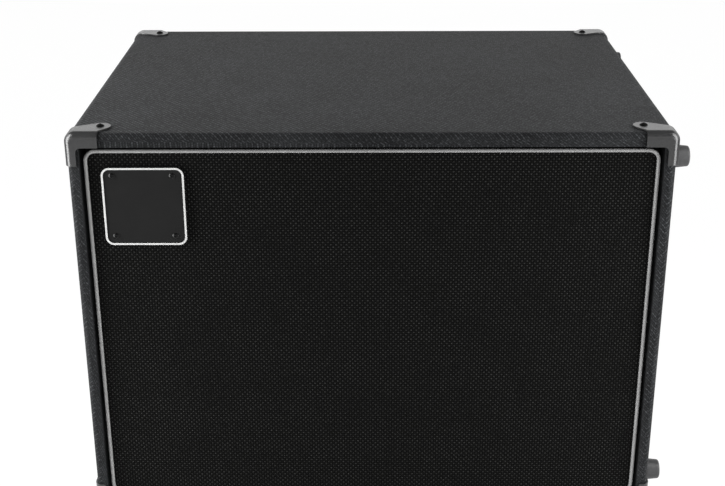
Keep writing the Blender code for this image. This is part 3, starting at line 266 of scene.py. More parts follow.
# %% Finishes
class Finish(Nodes):
    """One material in the making, around its Principled shader."""

    def __init__(self, name, constants):
        self.material = bpy.data.materials.new(name)
        self.material.use_nodes = True
        super().__init__(self.material.node_tree)
        self.shader = self.tree.nodes["Principled BSDF"]
        self.set(constants)

    def set(self, values):
        """Feed sockets of the Principled shader by name, and give the material."""
        for name, value in values.items():
            self.feed(self.shader.inputs[name], value)
        return self.material

    def surface(self, source="Object"):
        """The surface's own x, y and z, in metres, and the vector that they come from."""
        vector = self.node("ShaderNodeTexCoord", output=source)
        return vector, self.split(vector)

    def join(self, x, y):
        """The vector of an x and a y."""
        return self.node("ShaderNodeCombineXYZ", sockets=(x, y))

    def cloud(self, vector, size, detail, stretch=None):
        """Noise about 0.5 whose lumps are about size metres across, or stretched by a vector."""
        if stretch:
            settings = {"operation": "MULTIPLY"}
            vector = self.node("ShaderNodeVectorMath", settings, (vector, stretch))
        sockets = {"Vector": vector, "Scale": 1 / size, "Detail": detail}
        return self.node("ShaderNodeTexNoise", sockets=sockets)

    def relief(self, height, depth, strength):
        """A Bump node: heights from 0 to 1 stand for depths in metres."""
        sockets = {"Height": height, "Distance": depth, "Strength": strength}
        return self.node("ShaderNodeBump", sockets=sockets)


# %% [markdown]
# ## Studio, the walls
#
# The photograph has a plain white ground and soft light. To the camera and in reflections the
# world is a white wall that dims towards the ceiling. As a lamp it is dimmer, so that the white
# ground doesn't add light to the cabinet.

# %% World
WORLD_LIGHT = 0.45
WALL_TOP, WALL_FADE, CEILING = 0.36, 0.2, 0.2

world = bpy.data.worlds.new("studio")
world.use_nodes = True
bpy.context.scene.world = world
sky = Nodes(world.node_tree)
rise = sky.split(sky.node("ShaderNodeTexCoord", output="Generated"))[2]
fade = ((rise - WALL_TOP) / WALL_FADE).held()
lit = sky.node("ShaderNodeBackground", sockets=((1, 1, 1), WORLD_LIGHT))
white = sky.node("ShaderNodeBackground",
                 sockets=(sky.blend(fade, (1, 1, 1), (CEILING, CEILING, CEILING)), 1))
both = sky.node("ShaderNodeMixShader", sockets=(sky.seen(), lit, white))
sky.feed(world.node_tree.nodes["World Output"].inputs["Surface"], both)
print("walls dim from", WALL_TOP, "to", WALL_TOP + WALL_FADE, "of the way up")

# %% [markdown]
# ## Studio, the floor
#
# The floor glows to the eye, so that it stays as white as the ground of the photograph, and is a
# dull white board to the light, so that feet and box still shade it a little. Far out at the sides
# its reflection is dark, as a studio is past its paper, which keeps the cabinet's sides black.

# %% Floor
FLOOR_SHADE, FLOOR_GLOW = 0.1, 1.05
PAPER_HALF, PAPER_FADE, PAST_PAPER = 0.85, 0.25, 0.1

floor_finish = Finish("studio_floor", {"Base Color": (0.92, 0.92, 0.92), "Roughness": 0.9,
                                       "Specular IOR Level": 0.1})
sideways = abs(floor_finish.surface()[1][0])
shade = ((sideways - PAPER_HALF) / PAPER_FADE).held() * floor_finish.mirrored()
ground_colour = floor_finish.blend(shade, (1, 1, 1), (PAST_PAPER, PAST_PAPER, PAST_PAPER))
glow = floor_finish.node("ShaderNodeEmission", sockets=(ground_colour, FLOOR_GLOW))
shader = Signal(floor_finish, floor_finish.shader.outputs[0])
both = floor_finish.node("ShaderNodeMixShader",
                         sockets=(floor_finish.seen() * (1 - FLOOR_SHADE), shader, glow))
floor_finish.feed(floor_finish.tree.nodes["Material Output"].inputs["Surface"], both)

ground = bmesh.new()
bmesh.ops.create_grid(ground, x_segments=1, y_segments=1, size=12)
floor_mesh = bpy.data.meshes.new("floor")
ground.to_mesh(floor_mesh)
ground.free()
floor_mesh.materials.append(floor_finish.material)
floor = bpy.data.objects.new("floor", floor_mesh)
bpy.context.scene.collection.objects.link(floor)
floor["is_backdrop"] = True
print("paper", 2 * PAPER_HALF, "m wide")

# %% [markdown]
# ## Studio, the lamps
#
# A bright panel behind the cabinet draws the sheen of its top, and a tall light at each side draws
# a line down a front edge. They are area lamps, because only a light with a size gives a sheen
# with soft ends.

# %% Lamps
def lamp(name, place, aim, size, watts):
    """A soft light: a lit panel of width and height, turned towards a point."""
    data = bpy.data.lights.new(name, "AREA")
    data.shape = "RECTANGLE"
    data.size, data.size_y = size
    data.energy = watts
    made = bpy.data.objects.new(name, data)
    made.location = place
    made.rotation_euler = (Vector(aim) - Vector(place)).to_track_quat("-Z", "Y").to_euler()
    made.visible_camera = False
    bpy.context.scene.collection.objects.link(made)
    print(name, watts, "W")


lamp("panel_behind", (0, 1.9, 1.7), (0, 0.1, 0.4), (2.2, 0.7), 4)
lamp("left_strip", (-0.74, -0.34, 0.45), (-0.29, 0, 0.25), (0.25, 0.9), 8)
lamp("right_strip", (0.7, -0.4, 0.45), (0.28, 0, 0.25), (0.25, 0.9), 5.4)

# %% [markdown]
# ## Shaping helpers
#
# Nearly every piece of a cabinet is sawn, moulded as a plate or turned. `block`, `plate` and
# `turning` give these raw forms. A turned form is a profile spun about an axis, and its profile
# either closes on itself or runs from pole to pole.

# %% Raw forms
def block(low, high):
    """A box between two corners."""
    bm = bmesh.new()
    bmesh.ops.create_cube(bm, size=1)
    low, high = Vector(low), Vector(high)
    bmesh.ops.scale(bm, vec=high - low, verts=bm.verts)
    bmesh.ops.translate(bm, vec=(high + low) / 2, verts=bm.verts)
    return bm


def round_off(bm, edges, radius, steps):
    """Bevel edges to a radius."""
    bmesh.ops.bevel(bm, geom=edges, offset=radius, segments=steps, profile=0.5, affect="EDGES",
                    material=-1)


def along(bm, axis):
    """The edges of a box that run along one axis."""
    return [edge for edge in bm.edges
            if abs((edge.verts[1].co - edge.verts[0].co)[axis]) > 0.999 * edge.calc_length()]


def plate(width, height, low, high, radius, steps=8):
    """A plate with round corners, standing between two levels of Z."""
    bm = block((-width / 2, -height / 2, low), (width / 2, height / 2, high))
    round_off(bm, along(bm, 2), radius, steps)
    return bm


def turning(profile, steps):
    """A profile of (radius, height) spun about Z. It closes on itself or at two poles."""
    bm = bmesh.new()
    verts = [bm.verts.new((radius, 0, height)) for radius, height in profile]
    edges = [bm.edges.new(pair) for pair in zip(verts, verts[1:])]
    if profile[0][0] or profile[-1][0]:
        edges.append(bm.edges.new((verts[-1], verts[0])))
    bmesh.ops.spin(bm, geom=verts + edges, cent=(0, 0, 0), axis=(0, 0, 1), angle=math.tau,
                   steps=steps, use_merge=True)
    size = max(abs(length) for point in profile for length in point)
    bmesh.ops.remove_doubles(bm, verts=bm.verts, dist=1e-5 * size)
    bmesh.ops.recalc_face_normals(bm, faces=bm.faces)
    return bm


print("a turned test ring has", len(turning([(1, 0), (2, 0), (2, 1), (1, 1)], 64).faces), "faces")

# %% [markdown]
# ## Cutting and softening
#
# `cut` saws one closed form out of another, joins two, or keeps what they share. `soften` breaks
# the sharp edges, because no moulded or sawn edge is truly sharp and it is the small bevels that
# catch the light.

# %% Cutting and softening
def cut(bm, tool, operation="DIFFERENCE"):
    """One closed form cut, joined or limited by another."""
    pair = []
    for part in (bm, tool):
        mesh = bpy.data.meshes.new("work")
        part.to_mesh(mesh)
        part.free()
        obj = bpy.data.objects.new("work", mesh)
        bpy.context.scene.collection.objects.link(obj)
        pair.append(obj)
    modifier = pair[0].modifiers.new("cut", "BOOLEAN")
    modifier.operation = operation
    modifier.solver = "EXACT"
    modifier.object = pair[1]
    bpy.context.view_layer.update()
    seen_by = bpy.context.evaluated_depsgraph_get()
    result = bmesh.new()
    result.from_mesh(pair[0].evaluated_get(seen_by).data)
    for obj in pair:
        mesh = obj.data
        bpy.data.objects.remove(obj)
        bpy.data.meshes.remove(mesh)
    bmesh.ops.remove_doubles(result, verts=result.verts, dist=1e-6)
    bmesh.ops.dissolve_limit(result, angle_limit=math.radians(0.5), verts=result.verts,
                             edges=result.edges)
    return result


def soften(bm, width, steps=2, sharper=40):
    """Round every edge that is sharper than an angle."""
    edges = [edge for edge in bm.edges if len(edge.link_faces) == 2
             and edge.calc_face_angle() > math.radians(sharper)]
    bmesh.ops.bevel(bm, geom=edges, offset=width, segments=steps, profile=0.5, affect="EDGES",
                    material=-1, clamp_overlap=True)
    return bm


print("a softened test block has", len(soften(block((0, 0, 0), (1, 1, 1)), 0.1).faces), "faces")

# %% [markdown]
# ## Placing and finishing
#
# A form is made where it is easy to make and then moved to its place, so that the finished object
# itself stays unturned at the origin. `piece` ends the work on every form in the same way: smooth
# faces between sharp edges, one finish, the body that it rides on, and the solid that it replaces.

# %% Placing and finishing
def moved(bm, matrix):
    """The form at its place. A mirrored one gets its faces turned back out."""
    bmesh.ops.transform(bm, matrix=matrix, verts=bm.verts)
    if matrix.determinant() < 0:
        bmesh.ops.reverse_faces(bm, faces=bm.faces)
    return bm


def copies(bm, matrices):
    """The same form at many places, as one bmesh."""
    mesh = bpy.data.meshes.new("work")
    bm.to_mesh(mesh)
    bm.free()
    result = bmesh.new()
    for matrix in matrices:
        turned = mesh.copy()
        turned.transform(matrix)
        result.from_mesh(turned)
        bpy.data.meshes.remove(turned)
    bpy.data.meshes.remove(mesh)
    return result


def piece(name, bm, body, material, replaces=(), sharp=35, even=True):
    """A finished piece: smooth faces, its finish, the body that it rides on and what it is for."""
    mesh = bpy.data.meshes.new(name)
    bm.to_mesh(mesh)
    bm.free()
    mesh.shade_smooth()
    mesh.set_sharp_from_angle(angle=math.radians(sharp))
    mesh.materials.append(material)
    obj = bpy.data.objects.new(name, mesh)
    bpy.context.scene.collection.objects.link(obj)
    if even:
        obj.modifiers.new("even_shading", "WEIGHTED_NORMAL").keep_sharp = True
    if body:
        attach(obj, body)
    if replaces:
        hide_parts(*replaces)
    print(name, len(mesh.polygons), "faces")
    return obj


mirrored_block = moved(block((0, 0, 0), (1, 1, 1)), Matrix.Diagonal((-1, 1, 1, 1)))
print("a mirrored test block holds", round(mirrored_block.calc_volume(signed=True), 3))

# %% [markdown]
# ## Vinyl, the finish
#
# The covering is a black vinyl with an embossed grain: short slanting ribs, two millimetres apart,
# that break off every few millimetres. The pattern is worked out on the covering's own flat sheet
# (its UV map, in metres), where a roller pressed it before the sheet was wrapped, so it turns with
# the sheet round every edge. Noise bends the ribs, and the rib tops are painted paler: a painted
# highlight where the ribs catch the light.

# %% Vinyl
RIB_PITCH, RIB_LENGTH = 0.002, 0.0036
SLANT_U, SLANT_V = 0.76, 0.65


def vinyl_finish():
    """Embossed vinyl: ribs in rows, cut into runs, each lump of its own height."""
    finish = Finish("textured_vinyl", {"Specular IOR Level": 0.06, "Sheen Weight": 0.03,
                                       "Sheen Roughness": 0.35})
    flat, _ = finish.surface("UV")
    wander = finish.cloud(flat, 0.012, 2.0)
    u, v, _ = finish.split(flat)
    bend = (wander - 0.5) * 0.9
    rows = (u * SLANT_U - v * SLANT_V) / RIB_PITCH + bend
    chance = finish.node("ShaderNodeTexWhiteNoise", {"noise_dimensions": "1D"},
                         {"W": rows.floor()})
    runs = (u * SLANT_V + v * SLANT_U) / RIB_LENGTH + chance * 5 + bend
    across_rib = rows % 1 - 0.5
    along_rib = runs % 1 - 0.5
    rib = 1 - (across_rib * across_rib) * 4
    breaks = (1 - abs(along_rib) ** 3 * 8).held()
    lump = finish.node("ShaderNodeTexWhiteNoise", {"noise_dimensions": "2D"},
                       {"Vector": finish.join(rows.floor(), runs.floor())})
    crest = (rib * (0.35 + breaks * 0.65) * (0.6 + (rows.floor() % 2) * 0.4)
             * (0.5 + lump * 0.5))
    fine = finish.cloud(flat, 0.0007, 2.0)
    height = crest + fine * 0.3
    patches = finish.cloud(flat, 0.11, 3.0)
    # Painted highlight: the rib crests are painted paler. Patches and fine noise are the vinyl's
    # own uneven tone.
    tone = (crest ** 1.6 * 0.8 + (patches - 0.5) * 0.5 + (fine - 0.5) * 0.5).held()
    colour = finish.blend(tone, (0.0105, 0.0109, 0.0115), (0.092, 0.096, 0.101))
    return finish.set({
        "Base Color": colour,
        "Roughness": 0.62 - crest * 0.2 + (patches - 0.5) * 0.1,
        "Normal": finish.relief(height, 0.0003, 0.9)})


vinyl = vinyl_finish()
print("made", vinyl.name)

# %% [markdown]
# ## Vinyl, the covering
#
# The outline of the whole cabinet is one form: a box with eight steps round each long edge and six
# round each end edge, so that it looks smooth. `outer_form` can be grown or shrunk, because the
# covering, the boards under it and the protectors over it are all this form at another size.
# `sheet_place` says where a point lay on the flat sheet: the way round the box is u, and the way
# from back to front, over the edge and into the opening, is v.

# %% The outer form
LONG_EDGE = 8.7 * MM
END_EDGE = 5.8 * MM
OPENING = 13.5 * MM
SIDE_TRIM = 2.1 * MM
VINYL = 0.6 * MM
half_width, tall, deep = WIDTH / 2, HEIGHT, DEPTH


def outer_form(low, high, grow, long_steps=8, end_steps=6):
    """The cabinet's outer form, grown all round: round long edges and round end edges."""
    step = Vector((grow, grow, grow))
    low, high = Vector(low) - step, Vector(high) + step
    bm = block(low, high)
    round_off(bm, along(bm, 1), LONG_EDGE + grow, long_steps)
    ends = [edge for edge in bm.edges
            if all(abs(v.co.y - low.y) < 1e-6 for v in edge.verts)
            or all(abs(v.co.y - high.y) < 1e-6 for v in edge.verts)]
    round_off(bm, ends, END_EDGE + grow, end_steps)
    return bm


def inner_block(inset, front, back):
    """A box inside the cabinet, set in from top and base, and less far from the thinner sides."""
    reach = half_width - inset + SIDE_TRIM
    return block((-reach, front, inset), (reach, back, tall - inset))


def sheet_place(x, y, z, side):
    """Where a point of the covering lay on the flat sheet."""
    r, e = LONG_EDGE, END_EDGE
    bend = r * math.pi / 2
    climb, reach = tall - 2 * r, 2 * (half_width - r)
    starts = {"left": 0, "top": climb + bend, "right": climb + reach + 2 * bend,
              "bottom": 2 * climb + reach + 3 * bend}
    turns = {"left": (z - r, x + half_width), "top": (x + half_width - r, tall - z),
             "right": (tall - r - z, half_width - x), "bottom": (half_width - r - x, z)}
    run, inside = turns[side]
    length = climb if side in ("left", "right") else reach
    past = max(-run, run - length, 0)
    if past and inside < r:
        angle = math.atan2(past, r - inside)
        around = math.copysign(r * angle, run)
        inside = r - math.hypot(past, r - inside)
        run = around if run < 0 else length + around
    u = starts[side] + run
    end = min(y, deep - y)
    if inside < e and end < e:
        wrap = e * math.atan2(e - end, e - inside)
    elif end < e:
        wrap = e * math.pi / 2 + inside - e
    else:
        wrap = e - end
    return u, wrap if y < deep / 2 else 2 * e - deep - wrap


print("long edges", round(LONG_EDGE / MM, 1), "mm, end edges", round(END_EDGE / MM, 1), "mm")

# %% [markdown]
# ## Vinyl, the sheet round the box
#
# The real covering is one sheet wrapped round the box, glued down and tucked into the front and
# back openings. Here it is the outer form with the boards and the room inside cut away, which
# leaves a skin just as thick as the vinyl. Two holes let the handles through. Then each corner of
# each face gets its place on the flat sheet as its UV.

# %% The covering
BOARD_INSIDE = 12.6 * MM
TUCK_FRONT, TUCK_BACK, PAST = 24 * MM, 14 * MM, 10 * MM
HANDLE_PLACE = (217.35, 234.0)
HANDLE_HOLE = (174.4 * MM, 92.4 * MM)
box_low, box_high = (-half_width, 0, 0), (half_width, deep, tall)
covering = outer_form(box_low, box_high, 0)
covering = cut(covering, inner_block(OPENING, -PAST, deep + PAST))
boards = cut(outer_form(box_low, box_high, -VINYL),
             inner_block(BOARD_INSIDE + CLEAR, -PAST, deep + PAST))
covering = cut(covering, boards)
covering = cut(covering, inner_block(BOARD_INSIDE - CLEAR, TUCK_FRONT, deep - TUCK_BACK))
handle_hole = plate(*HANDLE_HOLE, -0.4, 0.4, 14 * MM)
place = Vector((0, HANDLE_PLACE[0] * MM, HANDLE_PLACE[1] * MM))
covering = cut(covering, moved(handle_hole, seat(place, (1, 0, 0))))

flat_map = covering.loops.layers.uv.new("flat_sheet")
for face in covering.faces:
    centre = face.calc_center_median()
    gaps = {"left": centre.x + half_width, "right": half_width - centre.x,
            "top": tall - centre.z, "bottom": centre.z}
    side = min(gaps, key=gaps.get)
    for loop in face.loops:
        loop[flat_map].uv = sheet_place(*loop.vert.co, side)
moved(covering, Matrix.Translation(spot(0, 0, 0)))
piece("wrapped_covering", covering, "cabinet", vinyl, ["vinyl_covering"])

# %% [markdown]
# ## Plain surfaces: plastic and rubber
#
# Corner protectors, handles, ports, horn and dish are injection moulded. The mould's walls were
# etched, so the plastic has a fine stipple and a soft sheen, and handling polishes it in patches.
# Nearly every plain surface is like that: a fine grain that can be felt, and slow patches. So
# `grained` makes all of them. It weighs the grain, the patches and 1 for the colour, and weighs
# them again for the roughness, and the grain alone is the relief.

# %% Plastic and rubber
def grained(name, constants, grain, patches, tone, colours, rough, relief):
    """A finish from two clouds, each of a size and a detail, and relief of a depth and strength."""
    finish = Finish(name, constants)
    vector, _ = finish.surface()
    grain, patches = finish.cloud(vector, *grain), finish.cloud(vector, *patches)

    def weighed(of_grain, of_patches, always):
        return grain * of_grain + patches * of_patches + always

    return finish.set({"Base Color": finish.blend(weighed(*tone).held(), *colours),
                       "Roughness": weighed(*rough),
                       "Normal": finish.relief(grain, *relief)})


plastic = grained(
    "moulded_plastic", {"Specular IOR Level": 0.5, "Coat Weight": 0.5, "Coat Roughness": 0.2},
    grain=(0.0011, 2.0), patches=(0.03, 3.0), tone=(0.7, 0.5, -0.1),
    colours=((0.0064, 0.0064, 0.0066), (0.032, 0.032, 0.033)),
    rough=(0.12, 0.16, 0.18), relief=(0.0003, 0.8))
rubber = grained(
    "foot_rubber", {"Specular IOR Level": 0.5},
    grain=(0.0006, 1.0), patches=(0.004, 4.0), tone=(0, 1.6, -0.4),
    colours=((0.030, 0.030, 0.031), (0.062, 0.062, 0.064)),
    rough=(0, 0.2, 0.36), relief=(0.00008, 0.5))
print("made", plastic.name, "and", rubber.name)

# %% [markdown]
# ## Dome-headed screws
#
# The same black screw holds protectors, plate, handles, drivers and back. Its head is a shallow
# dome with a cross in it: a turned form with two narrow wedges cut from its crown. The cross is
# what makes it read as a screw from close by. One head is made and copied to every place.

# %% Screws
def dome(radius, height, base, count):
    """Points down a shallow dome, from its crown to its rim."""
    ball = (radius ** 2 + height ** 2) / (2 * height)
    spread = math.asin(min(1, radius / ball))
    angles = [spread * k / (count - 1) for k in range(count)]
    return [(ball * math.sin(a), base + height - ball * (1 - math.cos(a))) for a in angles]


def screw_head(radius, height):
    """A dome head with a cross, standing on the ground."""
    edge = height * 0.22
    head = turning([*dome(radius, height - edge, edge, 6), (radius * 0.97, 0), (0, 0)], 24)
    for turn in (0, math.pi / 2):
        slot = block((-radius * 0.52, -radius * 0.11, height * 0.45),
                     (radius * 0.52, radius * 0.11, height * 2))
        low = [v for v in slot.verts if v.co.z < height]
        bmesh.ops.scale(slot, vec=(0.45, 0.7, 1), verts=low)
        head = cut(head, moved(slot, Matrix.Rotation(turn, 4, "Z")))
    return head


def screw_finish():
    """Black oxide: dark and glossy, a little unevenly."""
    finish = Finish("black_screw", {"Base Color": (0.003, 0.003, 0.003),
                                    "Specular IOR Level": 0.22})
    vector, _ = finish.surface()
    return finish.set({"Roughness": 0.14 + finish.cloud(vector, 0.0012, 3.0) * 0.2})


black_screw = screw_finish()


def screws(name, body, radius, height, matrices):
    """Screws at many places, each turned a little further than the last."""
    turned = [matrix @ Matrix.Rotation(0.7 * k, 4, "Z") for k, matrix in enumerate(matrices)]
    heads = copies(screw_head(radius * MM, height * MM), turned)
    return piece(name, heads, body, black_screw, even=False)


print("made", black_screw.name)

# %% [markdown]
# ## Corner protectors
#
# Each protector is a skin 1.7 mm thick over three faces of a corner. Its outline is another one on
# each face: on the top it runs out into a tab for its screw, on the side it ends in a shallow
# point, and on the front it is an angle with a round inner corner. A saw couldn't follow all three
# at once, so each outline is drawn flat and extruded into a prism that reaches over the corner.

# %% Protector outlines
PROUD, WALL = 2.0 * MM, 1.7 * MM
ACROSS, DOWN, RETURN = 31 * MM, 32.2 * MM, 21.3 * MM
TAB, TAB_RADIUS = Vector((30.8 * MM, 21.2 * MM)), 10.2 * MM


def arc(centre, radius, start, end, count):
    """Points on an arc, angles in degrees."""
    angles = [math.radians(start + (end - start) * k / (count - 1)) for k in range(count)]
    return [(centre[0] + radius * math.cos(a), centre[1] + radius * math.sin(a)) for a in angles]


def tangent(point, turn):
    """The angle on the tab's arc where a line from a point touches it."""
    away = Vector(point) - TAB
    towards = math.degrees(math.atan2(away.y, away.x)) % 360
    return towards - 360 * (turn > 0) + turn * math.degrees(math.acos(TAB_RADIUS / away.length))


def prism(outline, low, high, order):
    """A flat outline extruded along one axis. order says which axis takes u, v and the level."""
    bm = bmesh.new()

    def point(u, v, w):
        return [sign * (u, v, w)[axis] for axis, sign in order]

    face = bm.faces.new([bm.verts.new(point(u, v, low)) for u, v in outline])
    grown = bmesh.ops.extrude_face_region(bm, geom=[face])["geom"]
    rise = Vector(point(0, 0, high)) - Vector(point(0, 0, low))
    bmesh.ops.translate(bm, vec=rise, verts=[v for v in grown if isinstance(v, bmesh.types.BMVert)])
    bmesh.ops.recalc_face_normals(bm, faces=bm.faces)
    return bm


out, under = -PROUD - WALL, LONG_EDGE * (1 - math.cos(math.pi / 4))
corner, shoulder = (ACROSS, END_EDGE), (LONG_EDGE, RETURN)
tab = arc(TAB, TAB_RADIUS, tangent(corner, 1), tangent(shoulder, -1), 24)
top_outline = [(out, out), (ACROSS, out), corner, *tab, shoulder, (out, RETURN)]
side_outline = [(out, out), (DOWN, out), (DOWN, 13 * MM), (DOWN / 2, 17 * MM), shoulder,
                (out, RETURN)]
elbow = (14.4 * MM, OPENING + 5 * MM)
front_outline = [(out, out), (ACROSS, out), (ACROSS, OPENING), *arc(elbow, 5 * MM, 270, 180, 8),
                 (9.4 * MM, DOWN), (out, DOWN)]
limits = {"top": prism(top_outline, out, under, ((0, 1), (1, 1), (2, -1))),
          "side": prism(side_outline, out, under, ((2, 1), (1, 1), (0, -1))),
          "front": prism(front_outline, out, under, ((0, 1), (2, 1), (1, -1)))}
print("outline points", len(top_outline), len(side_outline), len(front_outline))

# %% [markdown]
# ## Corner protectors, the eight of them
#
# The skin is the outer form, grown, less the same form grown by one gap. What the three prisms
# hold of it is the protector. A bore goes through its tab, and its rim is softened last, when
# every edge is there. Front and rear ones are alike, so one is made and mirrored to eight corners,
# each with its screw.

# %% Protectors
REACH = 130 * MM
corner_low, corner_high = (0, 0, -REACH), (REACH, REACH, 0)
form = cut(outer_form(corner_low, corner_high, PROUD, 10, 8),
           outer_form(corner_low, corner_high, CLEAR, 10, 8))
limit = cut(cut(limits["top"], limits["side"], "UNION"), limits["front"], "UNION")
form = cut(form, limit, "INTERSECT")
bore = turning([(0, -0.02), (2.2 * MM, -0.02), (2.2 * MM, 0.02), (0, 0.02)], 24)
form = cut(form, moved(bore, Matrix.Translation((*TAB, 0))))
soften(form, 0.45 * MM, 2, 50)
moulded = bpy.data.meshes.new("protector_form")
form.to_mesh(moulded)
form.free()

tab_screws = []
for side, left_right in ((-1, "left"), (1, "right")):
    for end, front_rear in ((0, "front"), (1, "rear")):
        for storey, top_bottom in ((0, "bottom"), (1, "top")):
            flip = Matrix.Diagonal((-side, 1 - 2 * end, 2 * storey - 1, 1))
            origin = spot(side * HALF, end * DEEP, storey * TALL)
            copy = bmesh.new()
            copy.from_mesh(moulded)
            moved(copy, Matrix.Translation(origin) @ flip)
            name = f"{front_rear}_{top_bottom}_{left_right}"
            piece("protector_" + name, copy, "cabinet", plastic,
                  ["corner_protector_" + name])
            outward = Vector((0, 0, 2 * storey - 1))
            centre = origin + flip.to_3x3() @ Vector((*TAB, PROUD))
            tab_screws.append(seat(centre, outward, BACK))
screws("protector_screws", "cabinet", 4.1, 2.4, tab_screws)

# %% [markdown]
# ## Rubber feet
#
# A foot is a tapered plug with a rounded sole and a well, at whose bottom a screw holds it. It is
# a turned form, so its profile is drawn once and spun. Four stand under the base and four on the
# right side, for when the cabinet stands on end.

# %% Feet
FOOT, WELL = 17.3, 9
sole = arc((10.3 - 2, FOOT - 2), 2, 90, 0, 6)
foot_profile = [(4.2, FOOT), *sole, (11.8, 0.6), (11.5, GAP), (2.4, GAP), (2.4, FOOT - WELL),
                (4.2, FOOT - WELL)]
foot_profile = [(r * MM, h * MM) for r, h in foot_profile]
foot_screws = []
side_turn = {node: (Vector((1, 0, 0)), UP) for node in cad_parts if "side_foot" in node}
base_turn = {node: (-UP, FRONT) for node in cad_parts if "base_foot" in node}
for node, (outward, up) in sorted({**side_turn, **base_turn}.items()):
    low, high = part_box(node)
    middle = (low + high) / 2
    base = middle - outward * abs((high - low).dot(outward)) / 2 - outward * CLEAR
    matrix = seat(base, outward, up)
    foot = moved(turning(foot_profile, 48), matrix)
    piece("rubber_" + node, foot, "cabinet", rubber, [node])
    foot_screws.append(matrix @ Matrix.Translation((0, 0, (FOOT - WELL) * MM)))
screws("foot_screws", "cabinet", 3.7, 2.2, foot_screws)

# %% [markdown]
# ## Piping
#
# A bead of silver-grey vinyl over a cord covers the joint between grille and frame. A curve with a
# round bevel is the natural tool: the path is a rectangle with round corners. The finished tube is
# made a mesh, so that its place is in its points. Its skin has a faint weave from the cord below.

# %% Piping
PIPING_INSET, PIPING_SETBACK, PIPING_RADIUS, PIPING_CORNER = 17.0, 3.6, 1.8, 12.0


def ring_points(reach_x, reach_z, radius, count):
    """Points round a rectangle with round corners, about its middle."""
    points = []
    for sign_x, sign_z, start in ((1, 1, 0), (-1, 1, 90), (-1, -1, 180), (1, -1, 270)):
        centre = (sign_x * (reach_x - radius), sign_z * (reach_z - radius))
        points += arc(centre, radius, start, start + 90, count)
    return points


def rod(name, points, radius, steps, closed=False):
    """A round tube along points, as a bmesh."""
    curve = bpy.data.curves.new(name, "CURVE")
    curve.dimensions = "3D"
    curve.bevel_depth = radius
    curve.bevel_resolution = steps
    curve.use_fill_caps = not closed
    spline = curve.splines.new("POLY")
    spline.points.add(len(points) - 1)
    for point, co in zip(spline.points, points):
        point.co = (*co, 1)
    spline.use_cyclic_u = closed
    obj = bpy.data.objects.new(name, curve)
    bpy.context.scene.collection.objects.link(obj)
    bpy.context.view_layer.update()
    graph = bpy.context.evaluated_depsgraph_get()
    bm = bmesh.new()
    mesh = bpy.data.meshes.new_from_object(obj.evaluated_get(graph))
    bm.from_mesh(mesh)
    bpy.data.meshes.remove(mesh)
    bpy.data.objects.remove(obj)
    bpy.data.curves.remove(curve)
    bmesh.ops.remove_doubles(bm, verts=bm.verts, dist=1e-6)
    bmesh.ops.recalc_face_normals(bm, faces=bm.faces)
    return bm


piping_vinyl = grained(
    "piping_vinyl", {"Specular IOR Level": 0.5},
    grain=(0.0009, 2.0), patches=(0.012, 4.0), tone=(0.12, 0.8, 0.04),
    colours=((0.29, 0.29, 0.288), (0.42, 0.42, 0.417)),
    rough=(0, 0.14, 0.42), relief=(0.00002, 0.3))
line = PIPING_INSET + PIPING_RADIUS
bead = [spot(x, PIPING_SETBACK + PIPING_RADIUS, TALL / 2 + z) for x, z in
        ring_points(HALF - line + SIDE_TRIM / MM, TALL / 2 - line, PIPING_CORNER - PIPING_RADIUS,
                    12)]
piece("piping_bead", rod("bead", bead, PIPING_RADIUS * MM, 6, closed=True), "grille",
      piping_vinyl, ["grille_piping"])

# %% [markdown]
# ## Grille cloth
#
# The cloth is a coarse plain weave of black plastic-coated threads, 2.6 mm apart, stretched over
# its frame. On a plain weave the upright thread lies on top where column and row add up to an even
# number, and the level one lies on top elsewhere. The shader works that out from the cloth's own x
# and z and raises whichever thread is on top. The crown of an upright thread on top is painted
# paler, a painted highlight, and the colour darkens where the weave is low, a painted shade between
# threads.

# %% Grille cloth
COLUMN_PITCH, ROW_PITCH = 0.00262, 0.00256


def cloth_finish():
    """A plain weave: upright and level threads that take turns on top."""
    finish = Finish("grille_fabric", {"Specular IOR Level": 0.06})
    vector, (x, y, z) = finish.surface()
    sway = (finish.cloud(vector, 0.02, 2.0) - 0.5) * 0.25
    column = x / COLUMN_PITCH + sway
    row = z / ROW_PITCH + sway
    over = ((column.floor() + row.floor()) % 2).held()
    a, b = column % 1 - 0.5, row % 1 - 0.5
    upright = (1 - a * a * 4.4) * (b * math.pi).cosine()
    flat = (1 - b * b * 4.4) * (a * math.pi).cosine() * 0.8
    height = (upright * over + flat * (1 - over)).held()
    thread = finish.node("ShaderNodeTexWhiteNoise", {"noise_dimensions": "2D"},
                         {"Vector": finish.join(column.floor(), row.floor())})
    fibre = finish.cloud(vector, 0.0005, 2.0)
    patches = finish.cloud(vector, 0.05, 2.0)
    # Painted highlight on the upright crowns, and painted shade where the weave is low, between
    # threads.
    crown = (upright * over).held() ** 2.5
    tone = (crown * (0.35 + thread * 0.5 + (patches - 0.5) * 0.8) + height * 0.12
            + (fibre - 0.5) * 0.12 * height).held()
    return finish.set({
        "Base Color": finish.blend(tone, (0.0022, 0.0022, 0.0021), (0.052, 0.052, 0.050)),
        "Roughness": 0.85 - crown * 0.35,
        "Normal": finish.relief(height + fibre * 0.1, 0.0007, 0.7)})


CLOTH_LOW, CLOTH_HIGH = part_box("grille_cloth")
cloth_size = CLOTH_HIGH - CLOTH_LOW
cloth = plate(cloth_size.x, cloth_size.z, -cloth_size.y / 2, cloth_size.y / 2, 8.1 * MM)
moved(cloth, seat((CLOTH_LOW + CLOTH_HIGH) / 2, FRONT))
cloth = piece("woven_cloth", cloth, "grille", cloth_finish(), ["grille_cloth"])

# %% [markdown]
# ## Badge plate
#
# A square moulded plate with a raised pale rim is screwed through the cloth. The rim is a frame
# with its own paint, so it is made as a separate ring that stands in a step of the dark plate. The
# panel inside it is left plain, with the fine lines of a brushed face.

